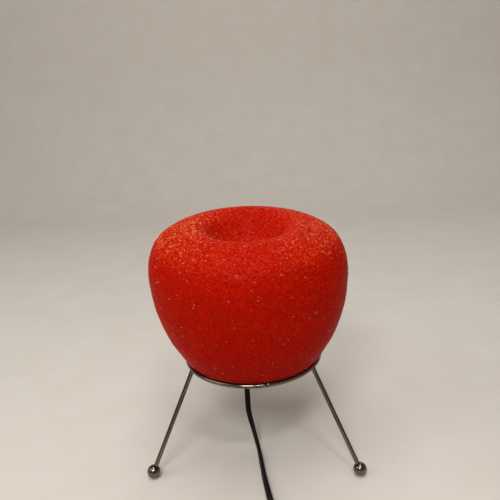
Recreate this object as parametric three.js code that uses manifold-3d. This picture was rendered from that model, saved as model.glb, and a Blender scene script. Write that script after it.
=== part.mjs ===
// Tomato-shaped table lamp: a hollow granule shade seated in the ring of a wire tripod,
// with an E14 lampholder inside it, a flat twin flex, an inline switch and a flat plug.
// Millimetres, +Z up. The lamp stands on z = 0 with its footprint centred on the origin.

import * as THREE from 'three';
import { mergeVertices } from 'three/addons/utils/BufferGeometryUtils.js';
import Module from 'manifold-3d';

const wasm = await Module();
wasm.setup();

// Fits
const fitGap = 0.3;
const cutOverrun = 4;
const weldTolerance = 0.0001;
const tableGap = 0.2;

// Stand sizes
const wireDiameter = 4;
const ringDiameter = 124.2;
const ringHeight = 95.6;
const footCircleDiameter = 215;
const ballDiameter = 12;
const ballFlatDiameter = 3;
const buttJointGap = 0.5;
const legSpreadTurn = 120;
const legTurns = { left: -legSpreadTurn / 2, right: legSpreadTurn / 2, rear: 180 };
const buttJointTurn = 11.6;
const buttJointSlant = 35;

// Shade sizes
const shadeDiameter = 178.2;
const shadeWall = 4;
const shadeMouthDiameter = 103;
const pitDepth = 25;
const bulbHeadroom = 18.6;
const crownLean = 5.1;
const crownLeanTurn = 11;
const crownShift = 1;

// Bracket sizes
const rimClearance = 1.5;
const bracketSheet = 1.5;
const bracketHubDiameter = 38;
const bracketArmWidth = 12;
const bracketKneeReach = 9.6;

// Nipple sizes
const nippleDiameter = 10;
const nippleBore = 7;
const nippleStickout = 1.7;
const nutAcrossFlats = 14;
const nutThickness = 3;
const washerDiameter = 18;
const washerThickness = 0.8;

// Lampholder sizes
const holderDiameter = 27.6;
const holderWall = 2;
const holderCapHeight = 20;
const holderBossDepth = 7;
const holderChamfer = 3;
const holderSleeveHeight = 28;
const spigotLength = 6;
const spigotWall = 1.4;
const shoulderHeight = 8;
const skirtWall = 1.7;
const insertHeight = 6;
const shellBore = 14.4;
const shellWall = 0.5;
const shellLength = 16;
const tongueWidth = 3;
const tongueThickness = 0.8;
const terminalHeadDiameter = 5;
const terminalHeadHeight = 1.8;
const terminalHeadSpacing = 11;

// Bulb sizes
const bulbLength = 57;
const bulbDiameter = 26;
const bulbGlassWall = 0.8;
const bulbCapDiameter = 13.2;
const bulbCapLength = 15;
const bulbCapWall = 0.4;
const bulbTipDiameter = 5;
const bulbTipHeight = 1.2;
const insulatorHeight = 2;
const neckDepth = 9;
const stemLength = 20;
const stemRodDiameter = 3;
const supportWire = 0.8;
const supportHeight = 7;
const filamentSpan = 12;
const filamentRise = 2.5;

// Flex sizes
const flexWide = 5.4;
const flexThin = 3.4;
const turnGap = 0.5;
const flexStep = 8;
const reliefLength = 20;
const reliefRootDiameter = 9.4;
const reliefRim = 1.2;
const reliefSwing = 20;
const reliefSwingTurn = 36;
const coilOuterRadius = 35.7;
const coilTurns = 7.75;
const coilCentre = { x: -37, y: -172 };
const climbTurns = 0.5;
const tieSheet = 1.1;
const tieWidth = 9;
const tieCorner = 3;
const tieTail = 7;

// Switch sizes
const switchLength = 62;
const switchWidth = 26;
const switchHeight = 18;
const switchWall = 2;
const switchCorner = 9;
const switchEdge = 2.4;
const switchPlace = { x: 17.5, y: -147 };
const entryDepth = 4;
const rockerLength = 20.4;
const rockerWidth = 11;
const rockerDrop = 5;
const rockerRise = 1.1;
const rockerDip = 1.3;
const rockerTilt = 7.5;
const rockerSkirtTurn = 15;
const windowGap = 0.6;
const pivotDiameter = 3;
const pivotLength = 2.1;
const pivotDepth = 4.2;
const earThickness = 2.2;
const earRim = 1.7;
const postDiameter = 7.4;
const postPlace = { x: 6.8, y: 18 };
const shankDiameter = 2.6;
const shankLength = 10;
const screwHeadDiameter = 5;
const screwHeadHeight = 1.8;
const screwRecess = 0.5;
const terminalLength = 9;
const terminalWidth = 5;
const terminalHeight = 4.5;
const terminalSpacing = 11;

// Plug sizes
const plugWidth = 35.3;
const plugThickness = 13.7;
const plugLength = 33;
const plugNeckWidth = 14;
const plugFaceDepth = 9;
const plugEdge = 2.5;
const plugReliefLength = 16;
const plugReliefRim = 1.4;
const plugReliefRootRim = 3;
const plugGrooves = 3;
const plugGrooveDepth = 0.9;
const pinDiameter = 4;
const pinLength = 19;
const pinSpacing = 18.6;
const pinRoot = 4;
const pinCoreDiameter = 2.6;
const pinSleeveLength = 10;
const pinChamfer = 0.8;
const plugPlace = { x: -32, y: -238 };

// Shares of the shade's radius and height, from the rim of the mouth up to the crest
const bellyShares = [
  [0.709, 0.082], [0.802, 0.18], [0.866, 0.26], [0.907, 0.333], [0.939, 0.4], [0.967, 0.472],
  [0.985, 0.548], [0.997, 0.638], [1, 0.714], [0.978, 0.809], [0.91, 0.904], [0.79, 0.959],
  [0.668, 0.988], [0.566, 1],
];
// Shares of the shade's radius and of the pit's depth below the crest, from the crest to the axis
const pitShares = [[0.475, 0.06], [0.405, 0.2], [0.325, 0.47], [0.23, 0.78], [0.115, 0.96], [0, 1]];
// Shares of the shade's height between which the crown's lean fades in
const leanFadeShares = { start: 0.16, end: 0.96 };
// Shares of the bulb's radius and of its length above the cap, from the neck to the top
const bulbShares = [
  [0.5, 0.05], [0.62, 0.12], [0.85, 0.23], [0.98, 0.34], [1, 0.42], [1, 0.72], [0.96, 0.84],
  [0.8, 0.93], [0.5, 0.985], [0, 1],
];

// Routes of the flex, chosen by hand: x, y, z from the ring's axis and the turn of its wide side
const leadRoute = [
  [-8, 0, 53.6, 0], [-8, 0, 46.5, 0], [-8, -0.3, 39, 6], [-7.4, -1.3, 31.7, 18],
  [-6, -3.2, 25.1, 35], [-3.9, -7, 18.6, 55], [-1.4, -13.2, 11.7, 72], [1.2, -21, 6.4, 80],
  [3.3, -31.5, 4, 78], [5.9, -48, 3, 68], [8.3, -63, 3, 56], [10.6, -75, 3.3, 46],
  [12.8, -87, 4.2, 34], [15, -98, 6.2, 18], [16.8, -107, 8.2, 4],
];
const tailRoute = [
  [17.4, -186, 8.4, 0], [16.2, -193, 7, 12], [12.6, -199.4, 5.6, 32], [6.6, -204.6, 4.7, 54],
  [-1.2, -207.2, 4.4, 74], [-9, -207.9, 4.3, 88], [-19, -207.8, 4.3, 90], [-26, -207.7, 4.3, 90],
];
const endRoute = [
  [-1.3, -186, 10.6, 90], [-1.3, -195, 11.4, 90], [-1.4, -204, 11.6, 84], [-1.9, -213, 10.8, 66],
  [-3.6, -221.6, 9.2, 44], [-7.4, -229, 7.8, 22], [-13, -234.4, 7.2, 6], [-20, -237.2, 7.1, 0],
];

// Facet counts
const shadeSides = 48;
const outerSteps = 21;
const innerSteps = 14;
const denseSteps = 400;
const ringSteps = 66;
const wireSides = 8;
const roundSides = 20;
const smallSides = 12;
const arcSteps = 4;
const flexEndSteps = 3;
const stepsPerTurn = 24;
const reliefSteps = 8;
const bevelSteps = 2;
const bulbSteps = 12;
const ballSteps = 9;
const filamentSides = 6;
const shoulderSteps = 6;

// Finishes
const finishes = {
  granules: { color: 0xa81804, roughness: 0.45, metalness: 0 },
  chrome: { color: 0xc9c4bd, roughness: 0.12, metalness: 1 },
  zinc: { color: 0xb4b4ae, roughness: 0.4, metalness: 1 },
  brass: { color: 0xc9a24a, roughness: 0.35, metalness: 1 },
  tin: { color: 0xaeb0b2, roughness: 0.35, metalness: 1 },
  tungsten: { color: 0x5b5b60, roughness: 0.5, metalness: 1 },
  glass: { color: 0xe9eef0, roughness: 0.05, metalness: 0 },
  blackGlass: { color: 0x0c0c10, roughness: 0.15, metalness: 0 },
  phenolic: { color: 0x141211, roughness: 0.35, metalness: 0 },
  blackPlastic: { color: 0x161414, roughness: 0.45, metalness: 0 },
  flex: { color: 0x120c0b, roughness: 0.5, metalness: 0 },
  strap: { color: 0x1a1a1c, roughness: 0.9, metalness: 0 },
};

// Scene graph
const lamp = new THREE.Group();
const switchGroup = new THREE.Group();
const plugGroup = new THREE.Group();
lamp.add(switchGroup, plugGroup);

function addPiece(group, name, geometry, finish) {
  const mesh = new THREE.Mesh(geometry, new THREE.MeshStandardMaterial(finishes[finish]));
  mesh.name = name;
  group.add(mesh);
  return mesh;
}

function addCopies(group, name, geometries, finish) {
  geometries.forEach((geometry, i) => addPiece(group, `${name}_${i + 1}`, geometry, finish));
}

// Solids
function toSolid(geometry) {
  const bare = geometry.clone();
  bare.deleteAttribute('normal');
  bare.deleteAttribute('uv');
  const merged = mergeVertices(bare, weldTolerance);
  const index = merged.index.array;
  const corners = [];
  for (let i = 0; i < index.length; i += 3) {
    const [a, b, c] = [index[i], index[i + 1], index[i + 2]];
    if (a !== b && b !== c && c !== a) corners.push(a, b, c);
  }
  const vertProperties = new Float32Array(merged.attributes.position.array);
  const triVerts = new Uint32Array(corners);
  return new wasm.Manifold(new wasm.Mesh({ numProp: 3, vertProperties, triVerts }));
}

function toGeometry(solid) {
  const { vertProperties, triVerts } = solid.getMesh();
  const geometry = new THREE.BufferGeometry();
  geometry.setAttribute('position', new THREE.BufferAttribute(new Float32Array(vertProperties), 3));
  geometry.setIndex(new THREE.BufferAttribute(new Uint32Array(triVerts), 1));
  geometry.computeVertexNormals();
  return geometry;
}

function cut(geometry, ...tools) {
  return toGeometry(tools.reduce((solid, tool) => solid.subtract(toSolid(tool)), toSolid(geometry)));
}

function join(...pieces) {
  const [first, ...rest] = pieces.map(toSolid);
  return toGeometry(rest.reduce((solid, piece) => solid.add(piece), first));
}

function common(geometry, tool) {
  return toGeometry(toSolid(geometry).intersect(toSolid(tool)));
}

// Forms
function revolve(outline, sides) {
  const geometry = new THREE.LatheGeometry(outline.map(([r, z]) => new THREE.Vector2(r, z)), sides);
  return geometry.rotateX(Math.PI / 2);
}

function disc(diameter, bottom, top, sides = roundSides) {
  const radius = diameter / 2;
  return revolve([[0, bottom], [radius, bottom], [radius, top], [0, top]], sides);
}

function tube(outer, inner, bottom, top, sides = roundSides) {
  const outline = [[inner / 2, bottom], [outer / 2, bottom], [outer / 2, top], [inner / 2, top]];
  return revolve([...outline, outline[0]], sides);
}

function block(from, to) {
  const size = from.map((value, i) => to[i] - value);
  const middle = from.map((value, i) => (value + to[i]) / 2);
  return new THREE.BoxGeometry(...size).translate(...middle);
}

function rod(from, to, diameter, sides = roundSides) {
  const span = new THREE.Vector3().subVectors(to, from);
  const geometry = new THREE.CylinderGeometry(diameter / 2, diameter / 2, span.length(), sides);
  const turn = new THREE.Quaternion().setFromUnitVectors(new THREE.Vector3(0, 1, 0), span.normalize());
  const middle = new THREE.Vector3().addVectors(from, to).divideScalar(2);
  return geometry.applyQuaternion(turn).translate(middle.x, middle.y, middle.z);
}

function extrude(outline, depth, options = {}) {
  const shape = new THREE.Shape(outline.map(([x, y]) => new THREE.Vector2(x, y)));
  return new THREE.ExtrudeGeometry(shape, { depth, bevelEnabled: false, steps: 1, ...options });
}

// An upright body with its long edges rounded off, from its full outline
function softened(insetOutline, height, edge) {
  const options = { bevelEnabled: true, bevelSize: edge, bevelThickness: edge, bevelSegments: bevelSteps };
  return extrude(insetOutline, height - 2 * edge, options).translate(0, 0, edge);
}

function arc(centre, radius, from, to, steps = arcSteps) {
  return Array.from({ length: steps + 1 }, (_, i) => {
    const angle = THREE.MathUtils.degToRad(from + ((to - from) * i) / steps);
    return [centre[0] + radius * Math.cos(angle), centre[1] + radius * Math.sin(angle)];
  });
}

function roundedOutline(sizeX, sizeY, corner) {
  const [x, y] = [sizeX / 2 - corner, sizeY / 2 - corner];
  return [
    ...arc([x, -y], corner, -90, 0), ...arc([x, y], corner, 0, 90),
    ...arc([-x, y], corner, 90, 180), ...arc([-x, -y], corner, 180, 270),
  ];
}

function flexOutline(rim, endSteps) {
  const radius = flexThin / 2 + rim;
  const offset = (flexWide - flexThin) / 2;
  return [...arc([offset, 0], radius, -90, 90, endSteps), ...arc([-offset, 0], radius, 90, 270, endSteps)];
}

function polar(radius, degreesFromFront, z) {
  const angle = THREE.MathUtils.degToRad(degreesFromFront);
  return new THREE.Vector3(radius * Math.sin(angle), -radius * Math.cos(angle), z);
}

function smoothStep(value) {
  const t = Math.min(Math.max(value, 0), 1);
  return t * t * (3 - 2 * t);
}

function spacedPoints(points, steps) {
  const curve = new THREE.SplineCurve(points.map(([x, y]) => new THREE.Vector2(x, y)));
  curve.arcLengthDivisions = denseSteps;
  return curve.getSpacedPoints(steps).map((p) => [p.x, p.y]);
}

// The outline of a hollow shell of even wall, open at the start of its outer outline
function shellOutline(outline, wall, steps, insideSteps) {
  const dense = spacedPoints(outline, denseSteps);
  const moved = dense.map(([r, z], i) => {
    const [before, after] = [dense[Math.max(i - 1, 0)], dense[Math.min(i + 1, denseSteps)]];
    const along = new THREE.Vector2(after[0] - before[0], after[1] - before[1]).normalize();
    return [r - wall * along.y, z + wall * along.x];
  });
  const outside = spacedPoints(outline, steps);
  const inside = spacedPoints(moved, insideSteps);
  outside[steps][0] = 0;
  inside[insideSteps][0] = 0;
  return [...inside.reverse(), ...outside];
}

// A closed skin over rings of points, with flat end caps
function skin(rings) {
  const count = rings[0].length;
  const points = rings.flat();
  const faces = [];
  for (let i = 0; i + 1 < rings.length; i += 1) {
    for (let j = 0; j < count; j += 1) {
      const [a, b] = [i * count + j, i * count + ((j + 1) % count)];
      faces.push([a, b, a + count], [b, b + count, a + count]);
    }
  }
  const last = (rings.length - 1) * count;
  for (let j = 1; j + 1 < count; j += 1) {
    faces.push([0, j + 1, j], [last, last + j, last + j + 1]);
  }
  const sixVolumes = faces.map(([a, b, c]) => points[a].dot(points[b].clone().cross(points[c])));
  const inward = sixVolumes.reduce((sum, value) => sum + value, 0) < 0;
  const geometry = new THREE.BufferGeometry().setFromPoints(points);
  geometry.setIndex(faces.flatMap((face) => (inward ? face.reverse() : face)));
  geometry.computeVertexNormals();
  return geometry;
}

// Stand
const ringRadius = ringDiameter / 2;
const wireRadius = wireDiameter / 2;
const ballRadius = ballDiameter / 2;
const ballHeight = Math.sqrt(ballRadius ** 2 - (ballFlatDiameter / 2) ** 2);

function ringBody(wire) {
  return new THREE.TorusGeometry(ringRadius, wire, wireSides, ringSteps).translate(0, 0, ringHeight);
}

function legEnds(turn) {
  return [polar(footCircleDiameter / 2, turn, ballHeight), polar(ringRadius, turn, ringHeight)];
}

function buildRing() {
  const reach = wireRadius + cutOverrun;
  const slot = block([-buttJointGap / 2, -reach, -reach], [buttJointGap / 2, reach, reach]);
  slot.rotateZ(THREE.MathUtils.degToRad(buttJointSlant)).translate(0, -ringRadius, ringHeight);
  slot.rotateZ(THREE.MathUtils.degToRad(buttJointTurn));
  addPiece(lamp, 'stand_ring', cut(ringBody(wireRadius), slot), 'chrome');
}

function buildLeg(side, turn) {
  const [foot, top] = legEnds(turn);
  const leg = cut(rod(foot, top, wireDiameter), ringBody(wireRadius + fitGap));
  addPiece(lamp, `leg_${side}`, leg, 'chrome');

  const flatEdge = -THREE.MathUtils.radToDeg(Math.asin(ballHeight / ballRadius));
  const round = arc([0, 0], ballRadius, flatEdge, 90, ballSteps).slice(0, -1);
  const ball = revolve([[0, -ballHeight], ...round, [0, ballRadius]], roundSides);
  ball.translate(foot.x, foot.y, foot.z);
  const along = new THREE.Vector3().subVectors(top, foot).normalize();
  const boreEnd = foot.clone().addScaledVector(along, -fitGap);
  const boreMouth = foot.clone().addScaledVector(along, ballRadius + cutOverrun);
  const bore = rod(boreEnd, boreMouth, wireDiameter + 2 * fitGap);
  addPiece(lamp, `foot_ball_${side}`, cut(ball, bore), 'chrome');
}

// Shade
const shadeRadius = shadeDiameter / 2;

// From the bracket's top to the bulb's contact, and from the mouth's rim to the crest over the bulb
const holderStack = washerThickness + holderCapHeight + insertHeight + tongueThickness + 5 * fitGap;
const bulbRoom = holderStack + bulbLength + bulbHeadroom - rimClearance;
const shadeHeight = bulbRoom + shadeWall + pitDepth;

const belly = bellyShares.map(([r, z]) => [r * shadeRadius, z * shadeHeight]);
const pit = pitShares.map(([r, z]) => [r * shadeRadius, shadeHeight - z * pitDepth]);
const shadeOutline = [[shadeMouthDiameter / 2, 0], ...belly, ...pit];

// The height at which the outline rests on the ring's wire, with the fit gap between them
function seatHeight() {
  const reach = wireRadius + fitGap;
  const near = spacedPoints(shadeOutline, denseSteps).filter(([r]) => Math.abs(r - ringRadius) < reach);
  return Math.max(...near.map(([r, z]) => ringHeight + Math.sqrt(reach ** 2 - (r - ringRadius) ** 2) - z));
}

const shadeSeat = seatHeight();

function leanCrown(geometry) {
  const position = geometry.attributes.position;
  const slope = Math.tan(THREE.MathUtils.degToRad(crownLean));
  const uphill = polar(slope, 180 + crownLeanTurn, 0);
  const { start, end } = leanFadeShares;
  for (let i = 0; i < position.count; i += 1) {
    const [x, y, z] = [position.getX(i), position.getY(i), position.getZ(i)];
    const fade = smoothStep((z / shadeHeight - start) / (end - start));
    position.setXYZ(i, x - crownShift * fade, y, z + (uphill.x * x + uphill.y * y) * fade);
  }
  return geometry;
}

function buildShade() {
  const shell = leanCrown(revolve(shellOutline(shadeOutline, shadeWall, outerSteps, innerSteps), shadeSides));
  addPiece(lamp, 'shade_shell', shell.translate(0, 0, shadeSeat), 'granules');
}

// Bracket
const bracketTop = shadeSeat - rimClearance;
const bracketBottom = bracketTop - bracketSheet;
const nippleHole = nippleDiameter + 2 * fitGap;

function bracketArm(turn) {
  const half = bracketSheet / 2;
  const middle = bracketTop - half;
  const knee = ringRadius - bracketKneeReach;
  const rise = Math.atan2(ringHeight - middle, bracketKneeReach);
  const miter = half * Math.tan(rise / 2);
  const edge = [half * Math.sin(rise), half * Math.cos(rise)];
  const root = bracketHubDiameter / 4;
  const outline = [
    [root, bracketBottom], [knee + miter, bracketBottom], [ringRadius + edge[0], ringHeight - edge[1]],
    [ringRadius - edge[0], ringHeight + edge[1]], [knee - miter, bracketTop], [root, bracketTop],
  ];
  const arm = extrude(outline, bracketArmWidth).rotateX(Math.PI / 2).translate(0, bracketArmWidth / 2, 0);
  return arm.rotateZ(THREE.MathUtils.degToRad(turn - 90));
}

function buildBracket() {
  const turns = Object.values(legTurns);
  const hub = tube(bracketHubDiameter, nippleHole, bracketBottom, bracketTop, shadeSides);
  const legs = turns.map((turn) => rod(...legEnds(turn), wireDiameter + 2 * fitGap));
  const bracket = cut(join(hub, ...turns.map(bracketArm)), ringBody(wireRadius + fitGap), ...legs);
  addPiece(lamp, 'holder_bracket', bracket, 'zinc');
}

// Nipple
const nutTop = bracketBottom - fitGap;
const nippleBottom = nutTop - nutThickness - nippleStickout;
const washerBottom = bracketTop + fitGap;
const capBottom = washerBottom + washerThickness + fitGap;
const bossTop = capBottom + holderBossDepth;

function buildNipple() {
  addPiece(lamp, 'holder_nipple', tube(nippleDiameter, nippleBore, nippleBottom, bossTop), 'zinc');
  const acrossCorners = nutAcrossFlats / Math.cos(Math.PI / 6);
  const hexagon = disc(acrossCorners, nutTop - nutThickness, nutTop, 6);
  const hole = disc(nippleHole, nutTop - nutThickness - cutOverrun, nutTop + cutOverrun);
  addPiece(lamp, 'nipple_nut', cut(hexagon, hole), 'zinc');
  const washer = tube(washerDiameter, nippleHole, washerBottom, washerBottom + washerThickness);
  addPiece(lamp, 'nipple_washer', washer, 'zinc');
}

// Lampholder
const holderRadius = holderDiameter / 2;
const capTop = capBottom + holderCapHeight;
const sleeveBottom = capTop + fitGap;
const sleeveTop = sleeveBottom + holderSleeveHeight;
const spigotRadius = holderRadius - holderWall - fitGap;
const insertRadius = spigotRadius - spigotWall - fitGap;
const insertTop = sleeveBottom + insertHeight;
const insertBottom = insertTop - insertHeight;
const shellBottom = insertTop + fitGap;
const tongueTop = shellBottom + tongueThickness;

function buildHolder() {
  const cavity = holderRadius - holderWall;
  const capOutline = [
    [nippleHole / 2, capBottom], [holderRadius - holderChamfer, capBottom],
    [holderRadius, capBottom + holderChamfer], [holderRadius, capTop], [cavity, capTop],
    [cavity, bossTop + holderWall], [nippleHole / 2, bossTop + holderWall], [nippleHole / 2, capBottom],
  ];
  addPiece(lamp, 'holder_cap', revolve(capOutline, roundSides), 'phenolic');

  const boreRadius = spigotRadius - spigotWall;
  const skirtRadius = holderRadius - skirtWall;
  const shoulder = sleeveBottom + shoulderHeight;
  const sleeveOutline = [
    [boreRadius, sleeveBottom - spigotLength], [spigotRadius, sleeveBottom - spigotLength],
    [spigotRadius, sleeveBottom], [holderRadius, sleeveBottom], [holderRadius, sleeveTop],
    [skirtRadius, sleeveTop], [skirtRadius, shoulder], [boreRadius, shoulder],
    [boreRadius, sleeveBottom - spigotLength],
  ];
  addPiece(lamp, 'holder_sleeve', revolve(sleeveOutline, roundSides), 'phenolic');

  addPiece(lamp, 'holder_insert', disc(2 * insertRadius, insertBottom, insertTop), 'phenolic');
  const shell = tube(shellBore + 2 * shellWall, shellBore, shellBottom, shellBottom + shellLength);
  addPiece(lamp, 'holder_shell', shell, 'brass');
  const tongueReach = Math.sqrt((shellBore / 2 - fitGap) ** 2 - (tongueWidth / 2) ** 2);
  const halfTongue = tongueWidth / 2;
  const tongue = block([-tongueReach, -halfTongue, shellBottom], [halfTongue, halfTongue, tongueTop]);
  addPiece(lamp, 'holder_contact', tongue, 'brass');
  const headTop = insertBottom - fitGap;
  const heads = [-1, 1].map((side) => {
    const head = disc(terminalHeadDiameter, headTop - terminalHeadHeight, headTop, smallSides);
    return head.translate((side * terminalHeadSpacing) / 2, 0, 0);
  });
  addCopies(lamp, 'holder_screw', heads, 'brass');
}

// Bulb
const bulbBottom = tongueTop + fitGap;
const insulatorBottom = bulbBottom + bulbTipHeight + fitGap;
const bulbCapBottom = insulatorBottom + insulatorHeight + fitGap;
const bulbCapTop = bulbCapBottom + bulbCapLength;
const bulbTop = bulbBottom + bulbLength;
const neckRadius = bulbCapDiameter / 2 - bulbCapWall - fitGap;
const neckBottom = bulbCapTop - neckDepth;

function buildBulb() {
  const capRadius = bulbCapDiameter / 2;
  const tip = revolve([[0, bulbBottom], [bulbTipDiameter / 4, bulbBottom],
    [bulbTipDiameter / 2, bulbBottom + bulbTipHeight / 2], [bulbTipDiameter / 2, bulbBottom + bulbTipHeight],
    [0, bulbBottom + bulbTipHeight]], roundSides);
  addPiece(lamp, 'bulb_contact', tip, 'tin');
  const insulator = revolve([[0, insulatorBottom], [bulbTipDiameter / 2, insulatorBottom],
    [capRadius, insulatorBottom + insulatorHeight], [0, insulatorBottom + insulatorHeight]], roundSides);
  addPiece(lamp, 'bulb_insulator', insulator, 'blackGlass');
  const cap = tube(bulbCapDiameter, bulbCapDiameter - 2 * bulbCapWall, bulbCapBottom, bulbCapTop);
  addPiece(lamp, 'bulb_cap', cap, 'brass');

  const dome = bulbTop - bulbCapTop;
  const envelope = bulbShares.map(([r, z]) => [(r * bulbDiameter) / 2, bulbCapTop + z * dome]);
  const neck = [[neckRadius, neckBottom], [neckRadius, bulbCapTop]];
  const glass = shellOutline([...neck, ...envelope], bulbGlassWall, bulbSteps, bulbSteps);
  addPiece(lamp, 'bulb_glass', revolve(glass, roundSides), 'glass');

  const flare = neckRadius - bulbGlassWall - fitGap;
  const stemRadius = stemRodDiameter / 2;
  const stemTop = neckBottom + stemLength;
  const stem = revolve([[0, neckBottom], [flare, neckBottom], [stemRadius, neckBottom + flare],
    [stemRadius, stemTop], [0, stemTop]], smallSides);
  addPiece(lamp, 'bulb_stem', stem, 'glass');

  const wireBottom = stemTop + fitGap;
  const wireTop = wireBottom + supportHeight;
  const supports = [-1, 1].map((side) => rod(
    new THREE.Vector3((side * stemRodDiameter) / 4, 0, wireBottom),
    new THREE.Vector3((side * filamentSpan) / 2, 0, wireTop), supportWire, smallSides,
  ));
  addCopies(lamp, 'bulb_support', supports, 'tin');

  const half = filamentSpan / 2;
  const archBottom = wireTop + supportWire + fitGap / 2;
  const arch = new THREE.QuadraticBezierCurve3(
    new THREE.Vector3(-half, 0, archBottom),
    new THREE.Vector3(0, 0, archBottom + filamentRise),
    new THREE.Vector3(half, 0, archBottom),
  );
  const section = arc([0, 0], supportWire / 2, 0, 360, filamentSides).slice(0, -1);
  const filament = extrude(section, 0, { steps: smallSides, extrudePath: arch });
  addPiece(lamp, 'bulb_filament', filament, 'tungsten');
}

// Strain relief
const upward = new THREE.Vector3(0, 0, 1);
const reliefRoot = nippleBottom - fitGap;

// The place and heading of the relief's middle line, which swings aside and then back
function reliefAt(length) {
  const swing = THREE.MathUtils.degToRad(reliefSwingTurn);
  const turned = length / reliefSwing;
  const heading = turned < swing ? turned : 2 * swing - turned;
  const [reach, drop] = turned < swing
    ? [1 - Math.cos(heading), Math.sin(heading)]
    : [1 - 2 * Math.cos(swing) + Math.cos(heading), 2 * Math.sin(swing) - Math.sin(heading)];
  return {
    place: new THREE.Vector3(-reach * reliefSwing, 0, reliefRoot - drop * reliefSwing),
    heading: new THREE.Vector3(-Math.sin(heading), 0, -Math.cos(heading)),
  };
}

function buildRelief() {
  const tipOutline = flexOutline(reliefRim, flexEndSteps);
  const rings = Array.from({ length: reliefSteps + 1 }, (_, i) => {
    const share = i / reliefSteps;
    const { place, heading } = reliefAt(share * reliefLength);
    const across = new THREE.Vector3(0, 1, 0).cross(heading);
    return tipOutline.map(([x, y]) => {
      const root = reliefRootDiameter / 2 / Math.hypot(x, y);
      const scale = THREE.MathUtils.lerp(root, 1, share);
      return place.clone().addScaledVector(across, x * scale).add(new THREE.Vector3(0, y * scale, 0));
    });
  });
  addPiece(lamp, 'cord_relief', skin(rings), 'blackPlastic');
}

// Flex
class FlexPath extends THREE.CatmullRomCurve3 {
  constructor(route, across) {
    super(route.map(([x, y, z]) => new THREE.Vector3(x, y, z)));
    this.twists = route.map((point) => THREE.MathUtils.degToRad(point[3]));
    this.across = across;
  }

  twistAt(share) {
    const place = this.getUtoTmapping(share) * (this.twists.length - 1);
    const index = Math.min(Math.floor(place), this.twists.length - 2);
    return THREE.MathUtils.lerp(this.twists[index], this.twists[index + 1], place - index);
  }

  computeFrenetFrames(steps) {
    const frames = { tangents: [], normals: [], binormals: [] };
    for (let i = 0; i <= steps; i += 1) {
      const tangent = this.getTangentAt(i / steps);
      const flat = this.across(tangent).projectOnPlane(tangent).normalize();
      const side = flat.applyAxisAngle(tangent, this.twistAt(i / steps));
      frames.tangents.push(tangent);
      frames.normals.push(side);
      frames.binormals.push(tangent.clone().cross(side));
    }
    return frames;
  }
}

function buildFlex(name, route, across) {
  const path = new FlexPath(route, across);
  const length = path.getLength();
  const options = { steps: Math.round(length / flexStep), extrudePath: path };
  addPiece(lamp, name, extrude(flexOutline(0, flexEndSteps), 0, options), 'flex');
  return length;
}

function withTwist(point, degrees) {
  return [...point.toArray(), degrees];
}

// Coil
const coilPitch = flexThin + turnGap;
const coilHalf = coilTurns / 2;
const coilInnerRadius = coilOuterRadius - coilPitch * coilHalf;
const lowerLayer = tableGap + tieSheet + fitGap + flexWide / 2;
const upperLayer = lowerLayer + flexWide + turnGap;

function coilPoint(turn) {
  const radius = coilOuterRadius - coilPitch * (coilHalf - Math.abs(turn - coilHalf));
  const climb = smoothStep((turn - coilHalf + climbTurns / 2) / climbTurns);
  const point = polar(radius, -360 * turn, THREE.MathUtils.lerp(lowerLayer, upperLayer, climb));
  return point.add(new THREE.Vector3(coilCentre.x, coilCentre.y, 0));
}

const coilStart = coilPoint(0).add(new THREE.Vector3(flexWide, 0, 0));
const coilEnd = coilPoint(coilTurns).add(new THREE.Vector3(0, -flexWide, 0));

function leastCoilGap(centres) {
  let least = Infinity;
  centres.forEach((point, i) => {
    for (const other of centres.slice(i + stepsPerTurn / 2)) {
      const rise = Math.max(Math.abs(point.z - other.z) - (flexWide - flexThin), 0);
      least = Math.min(least, Math.hypot(point.x - other.x, point.y - other.y, rise) - flexThin);
    }
  });
  return least;
}

function buildCoil() {
  const turns = Array.from({ length: Math.round(coilTurns * stepsPerTurn) + 1 }, (_, i) => i / stepsPerTurn);
  const centres = [coilStart, ...turns.map(coilPoint), coilEnd];
  const [thin, wide] = [flexThin / 2, flexWide / 2];
  const edge = wide / 2;
  const section = [[0, wide], [-thin, edge], [-thin, -edge], [0, -wide], [thin, -edge], [thin, edge]];
  const rings = centres.map((centre, i) => {
    const before = centres[Math.max(i - 1, 0)];
    const after = centres[Math.min(i + 1, centres.length - 1)];
    const heading = new THREE.Vector3().subVectors(after, before).normalize();
    const side = upward.clone().cross(heading).normalize();
    const rise = heading.clone().cross(side);
    return section.map(([x, y]) => centre.clone().addScaledVector(side, x).addScaledVector(rise, y));
  });
  addPiece(lamp, 'cord_coil', skin(rings), 'flex');
  console.log(`Coil: least gap to itself ${leastCoilGap(centres).toFixed(2)} mm`);
  return centres.slice(1).reduce((sum, point, i) => sum + point.distanceTo(centres[i]), 0);
}

// Coil tie
function buildTie() {
  const near = coilInnerRadius - flexThin / 2 - fitGap;
  const far = coilOuterRadius + flexThin / 2 + fitGap;
  const [wide, tall] = [far - near, upperLayer - lowerLayer + flexWide + 2 * fitGap];
  const [outerWide, outerTall] = [wide + 2 * tieSheet, tall + 2 * tieSheet];
  const band = extrude(roundedOutline(outerWide, outerTall, tieCorner + tieSheet), tieWidth);
  const tail = block([-outerWide / 2 - tieTail, -outerTall / 2, 0], [0, tieSheet - outerTall / 2, tieWidth]);
  const hole = extrude(roundedOutline(wide, tall, tieCorner), tieWidth + 2 * cutOverrun);
  const tie = cut(join(band, tail), hole.translate(0, 0, -cutOverrun)).rotateX(Math.PI / 2);
  const middle = (lowerLayer + upperLayer) / 2;
  tie.translate(coilCentre.x - (near + far) / 2, coilCentre.y + tieWidth / 2, middle);
  addPiece(lamp, 'coil_tie', tie, 'strap');
}

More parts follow.
